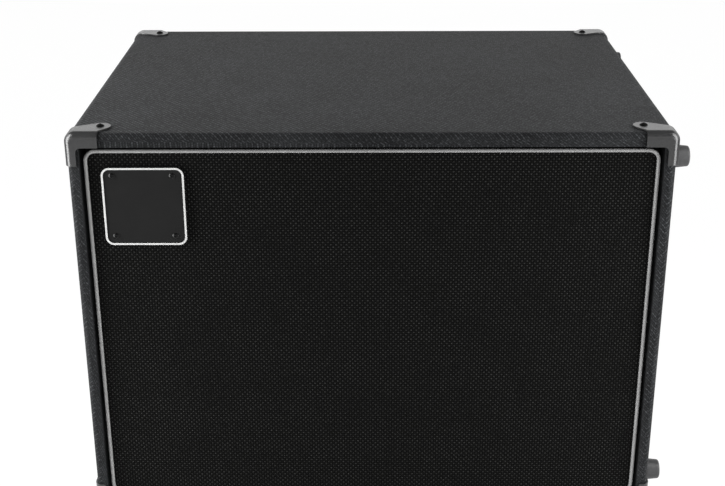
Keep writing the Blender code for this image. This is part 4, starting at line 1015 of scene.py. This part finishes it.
# %% Badge plate
badge_low, badge_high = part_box("badge_plate")
BADGE, RIM, RECESS = badge_high.x - badge_low.x, 2.3 * MM, 0.9 * MM
RIM_STEP = 0.3 * MM
badge_depth = badge_high.y - badge_low.y
badge_seat = seat(Vector(((badge_low.x + badge_high.x) / 2, badge_high.y,
                          (badge_low.z + badge_high.z) / 2)), FRONT)


badge_plastic = grained(
    "badge_plastic", {"Specular IOR Level": 0.12},
    grain=(0.0006, 2.0, (0.04, 1, 1)), patches=(0.03, 2.0), tone=(0.6, 0.5, -0.05),
    colours=((0.007, 0.007, 0.007), (0.018, 0.018, 0.018)),
    rough=(0.14, 0, 0.42), relief=(0.00006, 0.5))
pale_paint = grained(
    "badge_rim", {"Specular IOR Level": 0.5},
    grain=(0.004, 4.0), patches=(0.03, 2.0), tone=(1, 0, 0),
    colours=((0.66, 0.66, 0.65), (0.80, 0.80, 0.79)),
    rough=(0.15, 0, 0.36), relief=(0.00002, 0.3))
panel = soften(plate(BADGE, BADGE, 0, badge_depth - RIM_STEP, 8.5 * MM, 12), 0.5 * MM)
inner = BADGE - 2 * RIM
panel = cut(panel, plate(inner, inner, badge_depth - RECESS, badge_depth + 0.01, 6.2 * MM, 12))
piece("badge_panel", moved(panel, badge_seat), "grille", badge_plastic,
      ["badge_plate"])
outer = BADGE - 2 * RIM_STEP
edge = plate(outer, outer, badge_depth - RIM_STEP, badge_depth, 8.2 * MM, 12)
edge = cut(edge, plate(inner + 0.2 * MM, inner + 0.2 * MM, 0, 1, 6.3 * MM, 12))
soften(edge, 0.12 * MM)
piece("badge_rim", moved(edge, badge_seat), "grille", pale_paint)
badge_front = badge_low.y + RECESS
screws("badge_screws", "grille", 3.1, 1.7,
       [seat(Vector((spot(x, 0, 0).x, badge_front, spot(0, 0, z).z)), FRONT)
        for x in (-253.6, -194.7) for z in (317.3, 380.2)])

# %% [markdown]
# ## Plywood and paint
#
# The box is birch plywood: thin layers glued with the grain turned at each one. A face shows long
# grain and a sawn edge shows the layers, so the shader asks which way the surface faces. Baffle,
# back and grille frame have a coarse black paint, and so has all wood in front of the baffle's
# back. All of these are plain slabs, so the packed solids stay in place and only get their finish.

# %% Wood and paint
LAYER = 0.0013
PAINTED_DEPTH = 33


def wood_finish(through, grain):
    """Plywood with its layers stacked along one axis and its face grain along another."""
    finish = Finish("plywood_" + through + grain, {"Specular IOR Level": 0.3})
    vector, places = finish.surface()
    stretch = [0.05 if axis == grain else 1.0 for axis in "xyz"]
    lines = finish.cloud(vector, 0.003, 5.0, stretch)
    waves = finish.cloud(vector, 0.05, 2.0, stretch)
    layer = (places["xyz".index(through)] / LAYER).floor() % 2
    normal = finish.split(finish.node("ShaderNodeTexCoord", output="Normal"))
    is_face = abs(normal["xyz".index(through)]) > 0.7
    tone = (lines * 1.1 + (waves - 0.5) * 0.6 - 0.1).held()
    face = finish.blend(tone, (0.30, 0.185, 0.095), (0.55, 0.39, 0.24))
    ends = finish.blend(layer * 0.6 + lines * 0.4, (0.16, 0.09, 0.045), (0.46, 0.31, 0.18))
    bare = finish.blend(is_face, ends, face)
    inside = places[1] > spot(0, PAINTED_DEPTH, 0).y
    return finish.set({"Base Color": finish.blend(inside, (0.009, 0.009, 0.009), bare),
                       "Roughness": 0.58 + lines * 0.16,
                       "Normal": finish.relief(lines, 0.0001, 0.5)})


def paint(material, *names):
    """The packed solid stays as it is and gets a finish."""
    for name in names:
        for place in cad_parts[name].material_slots:
            place.material = material
    print(material.name, "on", ", ".join(names))


paint(wood_finish("z", "x"), "top_board", "bottom_board")
paint(wood_finish("x", "z"), "left_board", "right_board", "centre_brace")
paint(wood_finish("y", "x"), "front_cleats", "rear_cleats")
black_paint = grained(
    "painted_plywood", {"Specular IOR Level": 0.35},
    grain=(0.0016, 3.0), patches=(0.05, 3.0), tone=(0.8, 0.6, -0.3),
    colours=((0.006, 0.006, 0.006), (0.022, 0.022, 0.0225)),
    rough=(0.2, 0, 0.62), relief=(0.0003, 0.6))
paint(black_paint, "baffle_board", "back_board", "grille_frame")

# %% [markdown]
# ## Handles
#
# A cabinet of this weight is lifted by two recessed handles. Each is a moulding with a flange, a
# closed pocket that keeps the box airtight, and a mouth low in its face, so that the fingers hook
# up behind the upper part. The dish in the back is a moulding of the same kind, so `tray` makes
# both. From here on forms are made in millimetres, and `stand` brings them to metres when it puts
# them in their place.

# %% Handles
def stand(bm, x, y, z, outward):
    """A form made in millimetres, stood on a place of the cabinet."""
    return moved(bm, seat(spot(x, y, z), outward) @ Matrix.Scale(MM, 4))


def shifted(bm, x, y, z=0):
    """The form moved, in its own measure."""
    return moved(bm, Matrix.Translation((x, y, z)))


TRAY_WALL = 2.5


def tray(flange, pocket, mouth):
    """A flange with a pocket behind it. Both are a width, height, low, high and corner radius."""
    width, height, low, _, radius = pocket
    inside = plate(width - 2 * TRAY_WALL, height - 2 * TRAY_WALL, low + TRAY_WALL, mouth,
                   radius - TRAY_WALL)
    return cut(cut(plate(*flange), plate(*pocket), "UNION"), inside)


HANDLE_FACE = 1.9
handle = tray((200, 116, GAP, HANDLE_FACE, 20), (172, 90, -44, 1, 14), -2.2)
handle = cut(handle, shifted(plate(142, 52, -10, 10, 14), 0, -15))
soften(handle, 0.7, 2, 50)
handle_screws = []
for side, name in ((-1, "left_handle"), (1, "right_handle")):
    outward = Vector((side, 0, 0))
    copy = stand(handle.copy(), side * HALF, *HANDLE_PLACE, outward)
    piece("moulded_" + name, copy, "cabinet", plastic, [name])
    handle_screws += [seat(spot(side * (HALF + HANDLE_FACE), HANDLE_PLACE[0] + y,
                                HANDLE_PLACE[1] + z), outward)
                      for y in (-88.5, 88.5) for z in (-46.5, 46.5)]
screws("handle_screws", "cabinet", 3.6, 2.0, handle_screws)

# %% [markdown]
# ## Back and its dish
#
# The back is screwed on all round its cleats. Sockets are kept out of harm's way in a dish, which
# is moulded in one piece like the handles. It has three round holes in its floor, for two jacks
# and the knob that sets how loud the horn plays.

# %% Back screws and dish
BACK_FACE = 431.7
DISH = (0, BACK_FACE, 345)
DISH_FACE, DISH_FLOOR = 2.8, -23.5
KNOB_X, JACKS_X = -38, (0, 38)
around = [(x, z) for x in (-225, -112, 0, 112, 225) for z in (22, 402)]
around += [(x, z) for x in (-273, 273) for z in (80, 150, 212, 275, 345)]
screws("back_screws", "cabinet", 4.2, 2.2, [seat(spot(x, BACK_FACE, z), BACK) for x, z in around])


def tube(outer, inner, low, high, steps=48):
    """A plain ring or sleeve."""
    return turning([(inner, low), (outer, low), (outer, high), (inner, high)], steps)


dish = tray((156, 92, GAP, DISH_FACE, 9), (130, 66, DISH_FLOOR - TRAY_WALL, 1.5, 9), 10)
for x in (KNOB_X, *JACKS_X):
    dish = cut(dish, shifted(turning([(0, 20), (5, 20), (5, -60), (0, -60)], 32), x, 0))
soften(dish, 0.5, 2, 50)
piece("dish_moulding", stand(dish, *DISH, BACK), "cabinet", plastic,
      ["input_dish"])
corners = [(x, z) for x in (-71.5, 71.5) for z in (-39.5, 39.5)]
screws("dish_screws", "cabinet", 2.8, 1.6,
       [seat(spot(x, BACK_FACE + DISH_FACE, DISH[2] + z), BACK) for x, z in corners])

# %% [markdown]
# ## Jacks
#
# A quarter-inch jack is a plated sleeve through the dish's floor, with a washer and a hexagonal
# nut in front and its body behind. The sleeve is open, as a plug has to go in. Everything here is
# turned; a nut is a ring turned in only six steps.

# %% Jacks
def metal_finish(name, shade, rough, metallic=1.0, tint=(1, 1, 0.97)):
    """A metal: an even colour with smears of hands and oil."""
    colours = [[shade * k * part for part in tint] for k in (0.8, 1.15)]
    return grained(name, {"Metallic": metallic},
                   grain=(0.008, 4.0), patches=(0.03, 2.0), tone=(1, 0, 0), colours=colours,
                   rough=(0.2, 0, rough - 0.1), relief=(0.00003, 0.4))


def joined(*forms):
    """Several forms as one mesh."""
    result = forms[0]
    for form in forms[1:]:
        mesh = bpy.data.meshes.new("work")
        form.to_mesh(mesh)
        form.free()
        result.from_mesh(mesh)
        bpy.data.meshes.remove(mesh)
    return result


nickel = metal_finish("plated_steel", 0.58, 0.24)
jack_profile = [(0, -26.8), (3.3, -26.8), (3.3, 3.5), (3.7, 3.9), (4.3, 3.9), (4.7, 3.5),
                (4.7, -2.8), (9.4, -2.8), (10, -3.4), (10, -28.2), (9.4, -28.8), (0, -28.8)]
for x, name in zip(JACKS_X, ("input_jack", "link_jack")):
    nut = soften(tube(7.4, 4.6, 1.0, 2.9, 6), 0.3, 2, 45)
    jack = joined(turning(jack_profile, 48), nut, soften(tube(7.5, 4.6, GAP, 0.95), 0.15, 2, 45))
    stand(shifted(jack, x, 0, DISH_FLOOR), *DISH, BACK)
    piece("nickel_" + name, jack, "cabinet", nickel, [name])

# %% [markdown]
# ## Attenuator and knob
#
# The attenuator is a turned can behind the dish, and its shaft carries a fluted knob. The knob is
# turned with many steps, and each point of its side is then drawn in by a wave of its angle, which
# gives it twelve flutes. A ring of short raised lines round it shows its range without any words.
# The knob is turned by a hair before it is cut, so that no two faces lie in one plane, because a
# boolean decides such a tie by chance.

# %% Attenuator and knob
OFF_STEP = 0.011
FLUTES, FLUTE_DEPTH = 12, 0.9
body = [(0, 14.1), (2.6, 14.1), (3, 13.7), (3, 3.2), (4.7, 3.2), (4.7, -2.8), (12.8, -2.8),
        (14, -4), (14, -23.6), (12.8, -24.8), (0, -24.8)]
attenuator = joined(turning(body, 48), soften(tube(7.4, 4.6, GAP, 2.1, 6), 0.3, 2, 45))
stand(shifted(attenuator, KNOB_X, 0, DISH_FLOOR), *DISH, BACK)
piece("attenuator_can", attenuator, "cabinet", nickel, ["level_attenuator"])

side = [(10, 13.4), (10.2, 10), (10.4, 7), (10.7, 4), (10.95, 1), (10.6, 0)]
knob = turning([(0, 15), (8.4, 15), (9, 14.7), *side, (0, 0)], 96)
for vert in knob.verts:
    flute = 0.5 - 0.5 * math.cos(FLUTES * math.atan2(vert.co.y, vert.co.x))
    if vert.co.xy.length > 9.9:
        vert.co.xy *= 1 - FLUTE_DEPTH * flute ** 0.7 / vert.co.xy.length
moved(knob, Matrix.Rotation(OFF_STEP, 4, "Z"))
ridge = soften(block((-1, 0.4, 7.5), (1, 9, 16)), 0.4, 2, 45)
knob = cut(cut(knob, ridge, "UNION"), turning([(0, 12.3), (3.3, 12.3), (3.3, -9), (0, -9)], 32))
bmesh.ops.dissolve_degenerate(knob, dist=0.001, edges=knob.edges)
knob_base = (KNOB_X, 0, DISH_FLOOR + 2.4)
piece("fluted_knob", stand(shifted(knob, *knob_base), *DISH, BACK), "level_knob", plastic,
      ["level_knob"])
line = shifted(block((-0.45, 1.6, 15.9), (0.45, 8.4, 16.1)), *knob_base)
piece("knob_line", stand(line, *DISH, BACK), "level_knob", pale_paint)
tick = block((-0.4, 13.2, -0.1), (0.4, 16, 0.25))
turns = [Matrix.Translation((KNOB_X, 0, DISH_FLOOR))
         @ Matrix.Rotation(math.radians(27 * k), 4, "Z") for k in range(-5, 6)]
piece("knob_scale", stand(copies(tick, turns), *DISH, BACK), "cabinet", pale_paint,
      even=False)

# %% [markdown]
# ## Woofers, frame and motor
#
# A ten-inch bass driver is built on a basket pressed from one steel sheet: a flange, a wall with
# windows, a ledge for the spider and a seat for the magnet. `sheet_profile` thickens the drawn
# line of such a sheet, and the closed profile is spun. Top plate, ferrite ring and yoke are plain
# turned parts behind it, clamped with the voice coil's gap between them.

# %% Baskets and magnets
WOOFER_X = {"left": -137, "right": 137}
WOOFER_SET = (32, 151.6)
WINDOWS, SHEET = 6, 1.6


def sheet_profile(points, thickness):
    """The closed outline of a sheet: a line of points, and its copy to the right of its travel."""
    line = [Vector(point) for point in points]
    steps = [(b - a).normalized() for a, b in zip(line, line[1:])]
    right = [Vector((step.y, -step.x)) for step in steps]
    outside = []
    for here, one, two in zip(line, [right[0]] + right, right + [right[-1]]):
        middle = (one + two).normalized()
        outside.append(here + middle * thickness / middle.dot(one))
    return [*map(tuple, line), *((max(point.x, 0), point.y) for point in reversed(outside))]


basket_line = [(129, GAP), (113.8, GAP), (107.8, -14), (66.6, -63.6), (57, -63.6), (53.6, -78.8),
               (38, -78.8)]
window = block((63.2, -1, -62), (87.5, 1, 0))
for vert in window.verts:
    vert.co.y *= 43.5 if vert.co.x > 75 else 29.5
round_off(window, along(window, 2), 5, 3)
windows = copies(window, [Matrix.Rotation(math.tau * (k + 0.5) / WINDOWS + OFF_STEP, 4, "Z")
                          for k in range(WINDOWS)])
basket = cut(turning(sheet_profile(basket_line, SHEET), 72), windows)
soften(basket, 0.3, 1, 50)

black_steel = metal_finish("pressed_steel", 0.035, 0.42, metallic=0.6, tint=(1, 1, 1))
ferrite = metal_finish("ferrite", 0.045, 0.6, metallic=0.0, tint=(1, 1, 1.05))
yoke_ring = [(24.2, -77.3), (24.2, -106.6), (64, -106.6), (65, -107.6), (65, -113.6), (64, -114.6),
             (11, -114.6), (10, -113.6), (10, -77.3)]
for name, x in WOOFER_X.items():
    parts = {
        "basket": (basket.copy(), black_steel, "pressed_steel"),
        "magnet": (soften(tube(70, 30, -106.3, -86.3, 72), 0.8, 2, 45), ferrite, "ferrite"),
        "yoke": (turning(yoke_ring, 72), nickel, "plated_steel")}
    for part, (form, finish, slot) in parts.items():
        piece(f"{name}_pressed_{part}", stand(form, x, *WOOFER_SET, FRONT), "cabinet", finish,
              [f"{name}_woofer_{part}"])
    top_plate = soften(tube(52, 26.4, -86, -78, 72), 0.5, 2, 45)
    piece(name + "_top_plate", stand(top_plate, x, *WOOFER_SET, FRONT), "cabinet", nickel)
    terminal = soften(block((-8, 55, -78), (8, 67, -66)), 0.8, 2, 45)
    piece(name + "_terminal", stand(terminal, x, *WOOFER_SET, FRONT), "cabinet", plastic)

# %% [markdown]
# ## Woofers, moving parts
#
# The cone is felted paper with a slight bow, which makes so thin a sheet stiff. A dust cap closes
# the mouth of the coil behind it, and the two move together. Both are drawn as a line, thickened
# like the basket's sheet and spun.

# %% Cones and dust caps
def fibre_finish(name, dark, pale, size, depth, rough=0.82):
    """Paper, felt, cloth and rubber: two tones, a fine relief and a dull surface."""
    return grained(name, {"Specular IOR Level": 0.3},
                   grain=(size, 4.0), patches=(size * 25, 2.0), tone=(0.8, 0.7, -0.35),
                   colours=(dark, pale), rough=(0.2, 0, rough - 0.1), relief=(depth, 0.6))


paper = fibre_finish("cone_paper", (0.012, 0.012, 0.012), (0.045, 0.045, 0.046), 0.0012, 0.0003)
steps = [k / 12 for k in range(13)]
bowed = [(95 - 69.3 * t, 1.1 - 55.1 * t - 26.4 * t * (1 - t)) for t in steps]
cone_line = sheet_profile([(98.5, 1.1), *bowed, (25.7, -90)], 0.8)
cap_line = sheet_profile(dome(38, 13, -44.5, 12), 0.8)
for name, x in WOOFER_X.items():
    for part, line in (("cone", cone_line), ("dust_cap", cap_line)):
        form = stand(turning(line, 96), x, *WOOFER_SET, FRONT)
        piece(f"{name}_paper_{part}", form, name + "_cone", paper,
              [f"{name}_woofer_{part}"], sharp=50)

# %% [markdown]
# ## Woofers, what bends
#
# The rubber surround and the cloth spider are fixed outside and glued to the cone inside, so in the
# real driver they bend. Each ring is made in twelve sectors, and the two ends of each sector's
# radius are worked out. A gasket covers the surround's outer edge, and eight screws hold the woofer
# to the baffle.

# %% Surrounds, spiders and gaskets
SECTORS, SECTOR_STEPS = 12, 6
GASKET_TOP, SCREW_RING, WOOFER_SCREWS = 4.4, 120.6, 8


def sector(line, k):
    """One sector of a turned ring, with closed ends, about local X turned to sector k."""
    bm = bmesh.new()
    verts = [bm.verts.new((radius, 0, height)) for radius, height in line]
    edges = [bm.edges.new(pair) for pair in zip(verts, verts[1:] + verts[:1])]
    turn = math.tau / SECTORS
    bmesh.ops.rotate(bm, verts=verts, matrix=Matrix.Rotation((k - 0.5) * turn, 3, "Z"))
    bmesh.ops.spin(bm, geom=verts + edges, cent=(0, 0, 0), axis=(0, 0, 1), angle=turn,
                   steps=SECTOR_STEPS)
    bmesh.ops.holes_fill(bm, edges=bm.edges, sides=0)
    bmesh.ops.recalc_face_normals(bm, faces=bm.faces)
    return bm


surround_rubber = fibre_finish("surround_rubber", (0.008, 0.008, 0.008), (0.02, 0.02, 0.0205),
                               0.0008, 0.0001, 0.5)
spider_cloth = fibre_finish("spider_cloth", (0.34, 0.24, 0.08), (0.62, 0.48, 0.20), 0.0007, 0.0003)
roll = arc((105.5, 2.2), 7, 0, 180, 15)
waves = [(62 - 35.6 * k / 40, -60.5 - 1.2 * math.cos(math.tau * k / 8)) for k in range(41)]
rings = {"surround": ([(127, 2.2), *roll, (95, 2.2)], 0.8, (108, 99), surround_rubber,
                      "surround_rubber"),
         "spider": ([(65, -61.7), *waves], 0.5, (59, 30), spider_cloth, "spider_cloth")}
for name, x in WOOFER_X.items():
    for part, (line, thickness, span, finish, slot) in rings.items():
        place = seat(spot(x, *WOOFER_SET), FRONT)
        for k in range(SECTORS):
            spoke = Matrix.Rotation(math.tau * k / SECTORS, 4, "Z") @ Vector((1, 0, 0))
            start, end = (place @ (spoke * radius * MM) for radius in span)
            form = stand(sector(sheet_profile(line, thickness), k), x, *WOOFER_SET, FRONT)
            made = piece(f"{name}_{part}_{k}", form, None, finish,
                         [f"{name}_woofer_{part}"] if k == 0 else (), even=False)
            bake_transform(made)
    gasket = soften(tube(127, 113.6, 3.0, GASKET_TOP, 72), 0.4, 2, 45)
    piece(name + "_gasket", stand(gasket, x, *WOOFER_SET, FRONT), "cabinet", surround_rubber)
    places = [seat(spot(x + SCREW_RING * math.cos(a), WOOFER_SET[0] - GASKET_TOP,
                        WOOFER_SET[1] + SCREW_RING * math.sin(a)), FRONT)
              for a in (math.tau * (k + 0.5) / WOOFER_SCREWS for k in range(WOOFER_SCREWS))]
    screws(name + "_woofer_screws", "cabinet", 3.6, 2.2, places)

# %% [markdown]
# ## Horn and driver
#
# High notes come from a compression driver through a horn, whose section grows steadily from a
# round throat to a square mouth. It is lofted: one ring is drawn and extruded from depth to depth,
# down the inside and back up the outside, and a bridge closes it. Each ring is a superellipse,
# which turns from circle to square as its power grows. The driver is a turned can behind it.

# %% Horn and driver
HORN = (0, 32, 346)
HORN_FACE, HORN_WALL, HORN_LENGTH = 2.9, 2.6, 76.4
THROAT, MOUTH_GROWTH, FLARE = 12.7, 29.3, 1.4


def shape_ring(ring, half, squareness, depth):
    """Brings a ring between a circle, at squareness 0, and a round-cornered square, at 1."""
    power = 2 + 6 * squareness
    for vert in ring:
        x, y = vert.co.xy.normalized()
        vert.co = Vector((x, y, 0)) * half * (abs(x) ** power + abs(y) ** power) ** (-1 / power)
        vert.co.z = depth


def horn_section(t, wall):
    """Half width, squareness and depth of a ring, t of the way from mouth to throat."""
    growth = math.expm1(FLARE * (1 - t)) / math.expm1(FLARE)
    depth = min(HORN_FACE - HORN_LENGTH * t, GAP if wall else HORN_FACE)
    return THROAT + MOUTH_GROWTH * growth + wall, 1 - t, depth


shape = [(52, 1, HORN_FACE), *[horn_section(k / 12, 0) for k in range(13)],
         *[horn_section(k / 12, HORN_WALL) for k in range(12, -1, -1)], (52, 1, GAP)]
horn = bmesh.new()
shape_ring(bmesh.ops.create_circle(horn, segments=64, radius=1)["verts"], *shape[0])
first_loop = loop = list(horn.edges)
for section in shape[1:]:
    grown = bmesh.ops.extrude_edge_only(horn, edges=loop)["geom"]
    shape_ring([item for item in grown if isinstance(item, bmesh.types.BMVert)], *section)
    loop = [item for item in grown if isinstance(item, bmesh.types.BMEdge)
            and item.is_boundary and item not in loop]
bmesh.ops.bridge_loops(horn, edges=first_loop + loop)
bmesh.ops.recalc_face_normals(horn, faces=horn.faces)
print("horn rings closed:", all(len(edge.link_faces) == 2 for edge in horn.edges))
soften(horn, 0.5, 2, 60)
collar = soften(tube(34, 13.1, -76, -71, 64), 0.5, 2, 45)
piece("moulded_horn", stand(joined(horn, collar), *HORN, FRONT), "cabinet", plastic,
      ["horn_flare"])
screws("horn_screws", "cabinet", 2.8, 1.6,
       [seat(spot(x, HORN[1] - HORN_FACE, HORN[2] + z), FRONT) for x in (-43.2, 43.2)
        for z in (-43.2, 43.2)])
can = [(0, -84.3), (12.7, -84.3), (12.7, -76.3), (33.5, -76.3), (34, -76.8), (34, -84.3),
       (44, -84.3), (45, -85.3), (45, -98), (44.2, -98.6), (44.2, -100.4), (45, -101),
       (45, -114.3), (41, -118.3), (0, -118.3)]
piece("driver_can", stand(turning(can, 72), *HORN, FRONT), "cabinet", black_steel,
      ["horn_driver"])

# %% [markdown]
# ## Ports
#
# Two tuned ports let the air behind the woofers help with the lowest notes. Each is a moulded tube
# with a flange on the baffle and a flared lip, which keeps the moving air quiet. It is round all
# along, so its profile is drawn once and turned.

# %% Ports
PORT_X = 170
lip = arc((41, -3.7), 6, 180, 90, 9)
port = [(43.4, 2.3), (44, 1.7), (44, GAP), (38, GAP), (38, -117.4), (37.4, -118), (35.6, -118),
        (35, -117.4), *lip]
for side, name in ((-1, "left_port_tube"), (1, "right_port_tube")):
    piece("moulded_" + name, stand(turning(port, 96), side * PORT_X, *HORN[1:], FRONT),
          "cabinet", plastic, [name])

# %% [markdown]
# ## Crossover
#
# The crossover sends high notes to the horn and low ones to the woofers. Its board stands on four
# spacers inside the back. The coil is wound in layers of enamelled copper, which gives its side a
# row of small ridges. Two film capacitors, an electrolytic one and a cement resistor stand by it.

# %% Crossover
CROSSOVER = (-150, 419.7, 130)
BOARD_LOW, BOARD_TOP = 8.3, 10.3


def colour_finish(name, shade, rough=0.45, size=0.004):
    """A plain moulded, lacquered or printed colour, a little uneven."""
    colours = [[part * k for part in shade] for k in (0.75, 1.2)]
    return grained(name, {"Specular IOR Level": 0.5},
                   grain=(size, 3.0), patches=(0.03, 2.0), tone=(1, 0, 0), colours=colours,
                   rough=(0.2, 0, rough - 0.1), relief=(0.00005, 0.5))


def on_board(name, form, finish, replaced=()):
    """A piece that is drawn from the middle of the crossover's board."""
    piece(name, stand(form, *CROSSOVER, FRONT), "cabinet", finish, replaced)


board = soften(plate(120, 84, BOARD_LOW, BOARD_TOP, 3, 4), 0.2, 1, 50)
board = joined(board, *[shifted(tube(4, 1.5, GAP, BOARD_LOW, 24), x, y) for x in (-52, 52)
                        for y in (-34, 34)])
on_board("printed_board", board, colour_finish("circuit_board", (0.03, 0.12, 0.05)),
         ["crossover_board"])
ridges = [(26.5 + 0.5 * math.cos(math.tau * k / 6), 32.6 - 22 * k / 66) for k in range(67)]
coil = turning([(12, 32.6), *ridges, (12, 10.6)], 64)
copper = metal_finish("copper_wire", 0.75, 0.3, tint=(1, 0.42, 0.2))
on_board("wound_coil", shifted(coil, -24, 0), copper, ["crossover_coil"])
for k, y in enumerate((20, -4)):
    film = soften(block((10, y - 7, BOARD_TOP), (34, y + 7, BOARD_TOP + 15)), 1.5, 3, 45)
    on_board(f"film_capacitor_{k}", film, colour_finish(f"film_{k}", (0.5, 0.33, 0.03)))
barrel = turning([(0, 9.6), (6.4, 9.6), (7, 9), (7, 7), (6.5, 6.6), (7, 6.2), (7, -9),
                  (6.4, -9.6), (0, -9.6)], 40)
moved(barrel, Matrix.Translation((18, -26, BOARD_TOP + 7.2)) @ Matrix.Rotation(math.pi / 2, 4, "Y"))
on_board("barrel_capacitor", barrel, colour_finish("barrel", (0.02, 0.03, 0.09)))
cement = soften(block((31, -29, BOARD_TOP), (50, -20, BOARD_TOP + 9)), 0.8, 2, 45)
on_board("cement_resistor", cement, colour_finish("cement", (0.6, 0.59, 0.55), 0.8))

# %% [markdown]
# ## Damping batt
#
# A fibre batt under the top keeps sound from echoing in the box. Its skin is slack and its edges
# are rounded off. It is a slab cut fine, whose skin a noise pushes in, never out, so that it stays
# clear of the wood.

# %% Damping batt
BATT_LOW, BATT_HIGH = Vector((-260.1, 165, 394.1)), Vector((260.1, 401.1, 411.1))
EDGE_BAND = 9
batt = block(BATT_LOW, BATT_HIGH)
for axis, cuts in enumerate((60, 27, 3)):
    bmesh.ops.subdivide_edges(batt, edges=along(batt, axis), cuts=cuts, use_grid_fill=True)
batt_middle, batt_half = (BATT_LOW + BATT_HIGH) / 2, (BATT_HIGH - BATT_LOW) / 2
for vert in batt.verts:
    place = vert.co - batt_middle
    rim = max(abs(place.x) - batt_half.x + EDGE_BAND, abs(place.y) - batt_half.y + EDGE_BAND, 0)
    slack = 0.9 - 0.9 * noise.noise(vert.co * 0.035) - 0.6 * noise.noise(vert.co * 0.12)
    place.z *= 1 - 0.45 * (min(rim, EDGE_BAND) / EDGE_BAND) ** 2 - 0.06 * max(slack, 0)
    for axis in (0, 1):
        place[axis] -= math.copysign(max(slack, 0), place[axis]) * (rim > 0)
    vert.co = batt_middle + place
bmesh.ops.scale(batt, vec=(MM, MM, MM), verts=batt.verts)
moved(batt, Matrix.Translation(spot(0, 0, 0)))
wadding = fibre_finish("fibre_batt", (0.5, 0.49, 0.46), (0.82, 0.81, 0.78), 0.002, 0.0012, 0.9)
batt = piece("fibre_batt", batt, "cabinet", wadding, ["damping_batt"], even=False)

# %% [markdown]
# ## Leads
#
# A lead runs from each woofer to the crossover. Its route goes straight out of the terminal first,
# as a real lead does, and a smooth curve through the chosen points gives it its slack. The same
# points give the tube its form.

# %% Leads
def smooth_route(stops, count):
    """A smooth curve through the stops, straight at both ends."""
    stops = [Vector(stop) for stop in stops]
    spans = len(stops) - 3
    points = [stops[0]]
    for step in range(count):
        place = step / (count - 1) * spans
        k = min(int(place), spans - 1)
        t = place - k
        a, b, c, d = stops[k:k + 4]
        points.append((b * 2 + (c - a) * t + (a * 2 - b * 5 + c * 4 - d) * t ** 2
                       + (b * 3 - a - c * 3 + d) * t ** 3) / 2)
    return points + [stops[-1]]


LEAD = 4.4
routes = {
    "left_woofer_lead": [(-137, 104, 218.9), (-137, 104, 232.9), (-137, 150, 236),
                         (-134, 250, 200), (-122, 335, 166), (-106, 395.1, 160),
                         (-106, 409.1, 160)],
    "right_woofer_lead": [(137, 104, 218.9), (137, 104, 232.9), (115, 160, 230), (55, 230, 190),
                          (-25, 285, 152), (-106, 395.1, 130), (-106, 409.1, 130)]}
insulation = colour_finish("lead_insulation", (0.16, 0.014, 0.012), 0.4, 0.003)
for node, stops in routes.items():
    points = [spot(*place) for place in smooth_route(stops, 43)]
    lead = piece(node + "_cable", rod(node, points, LEAD / 2 * MM, 4), "cabinet", insulation,
                 [node])

# %% [markdown]
# ## Size
#
# The finished pieces must fill the same box as the solids, apart from screw heads and the skin of
# soft pieces. The box of the shown pieces is printed.

# %% Size
low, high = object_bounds()
print("visual box", [round(length / MM, 1) for length in high - low], "mm")
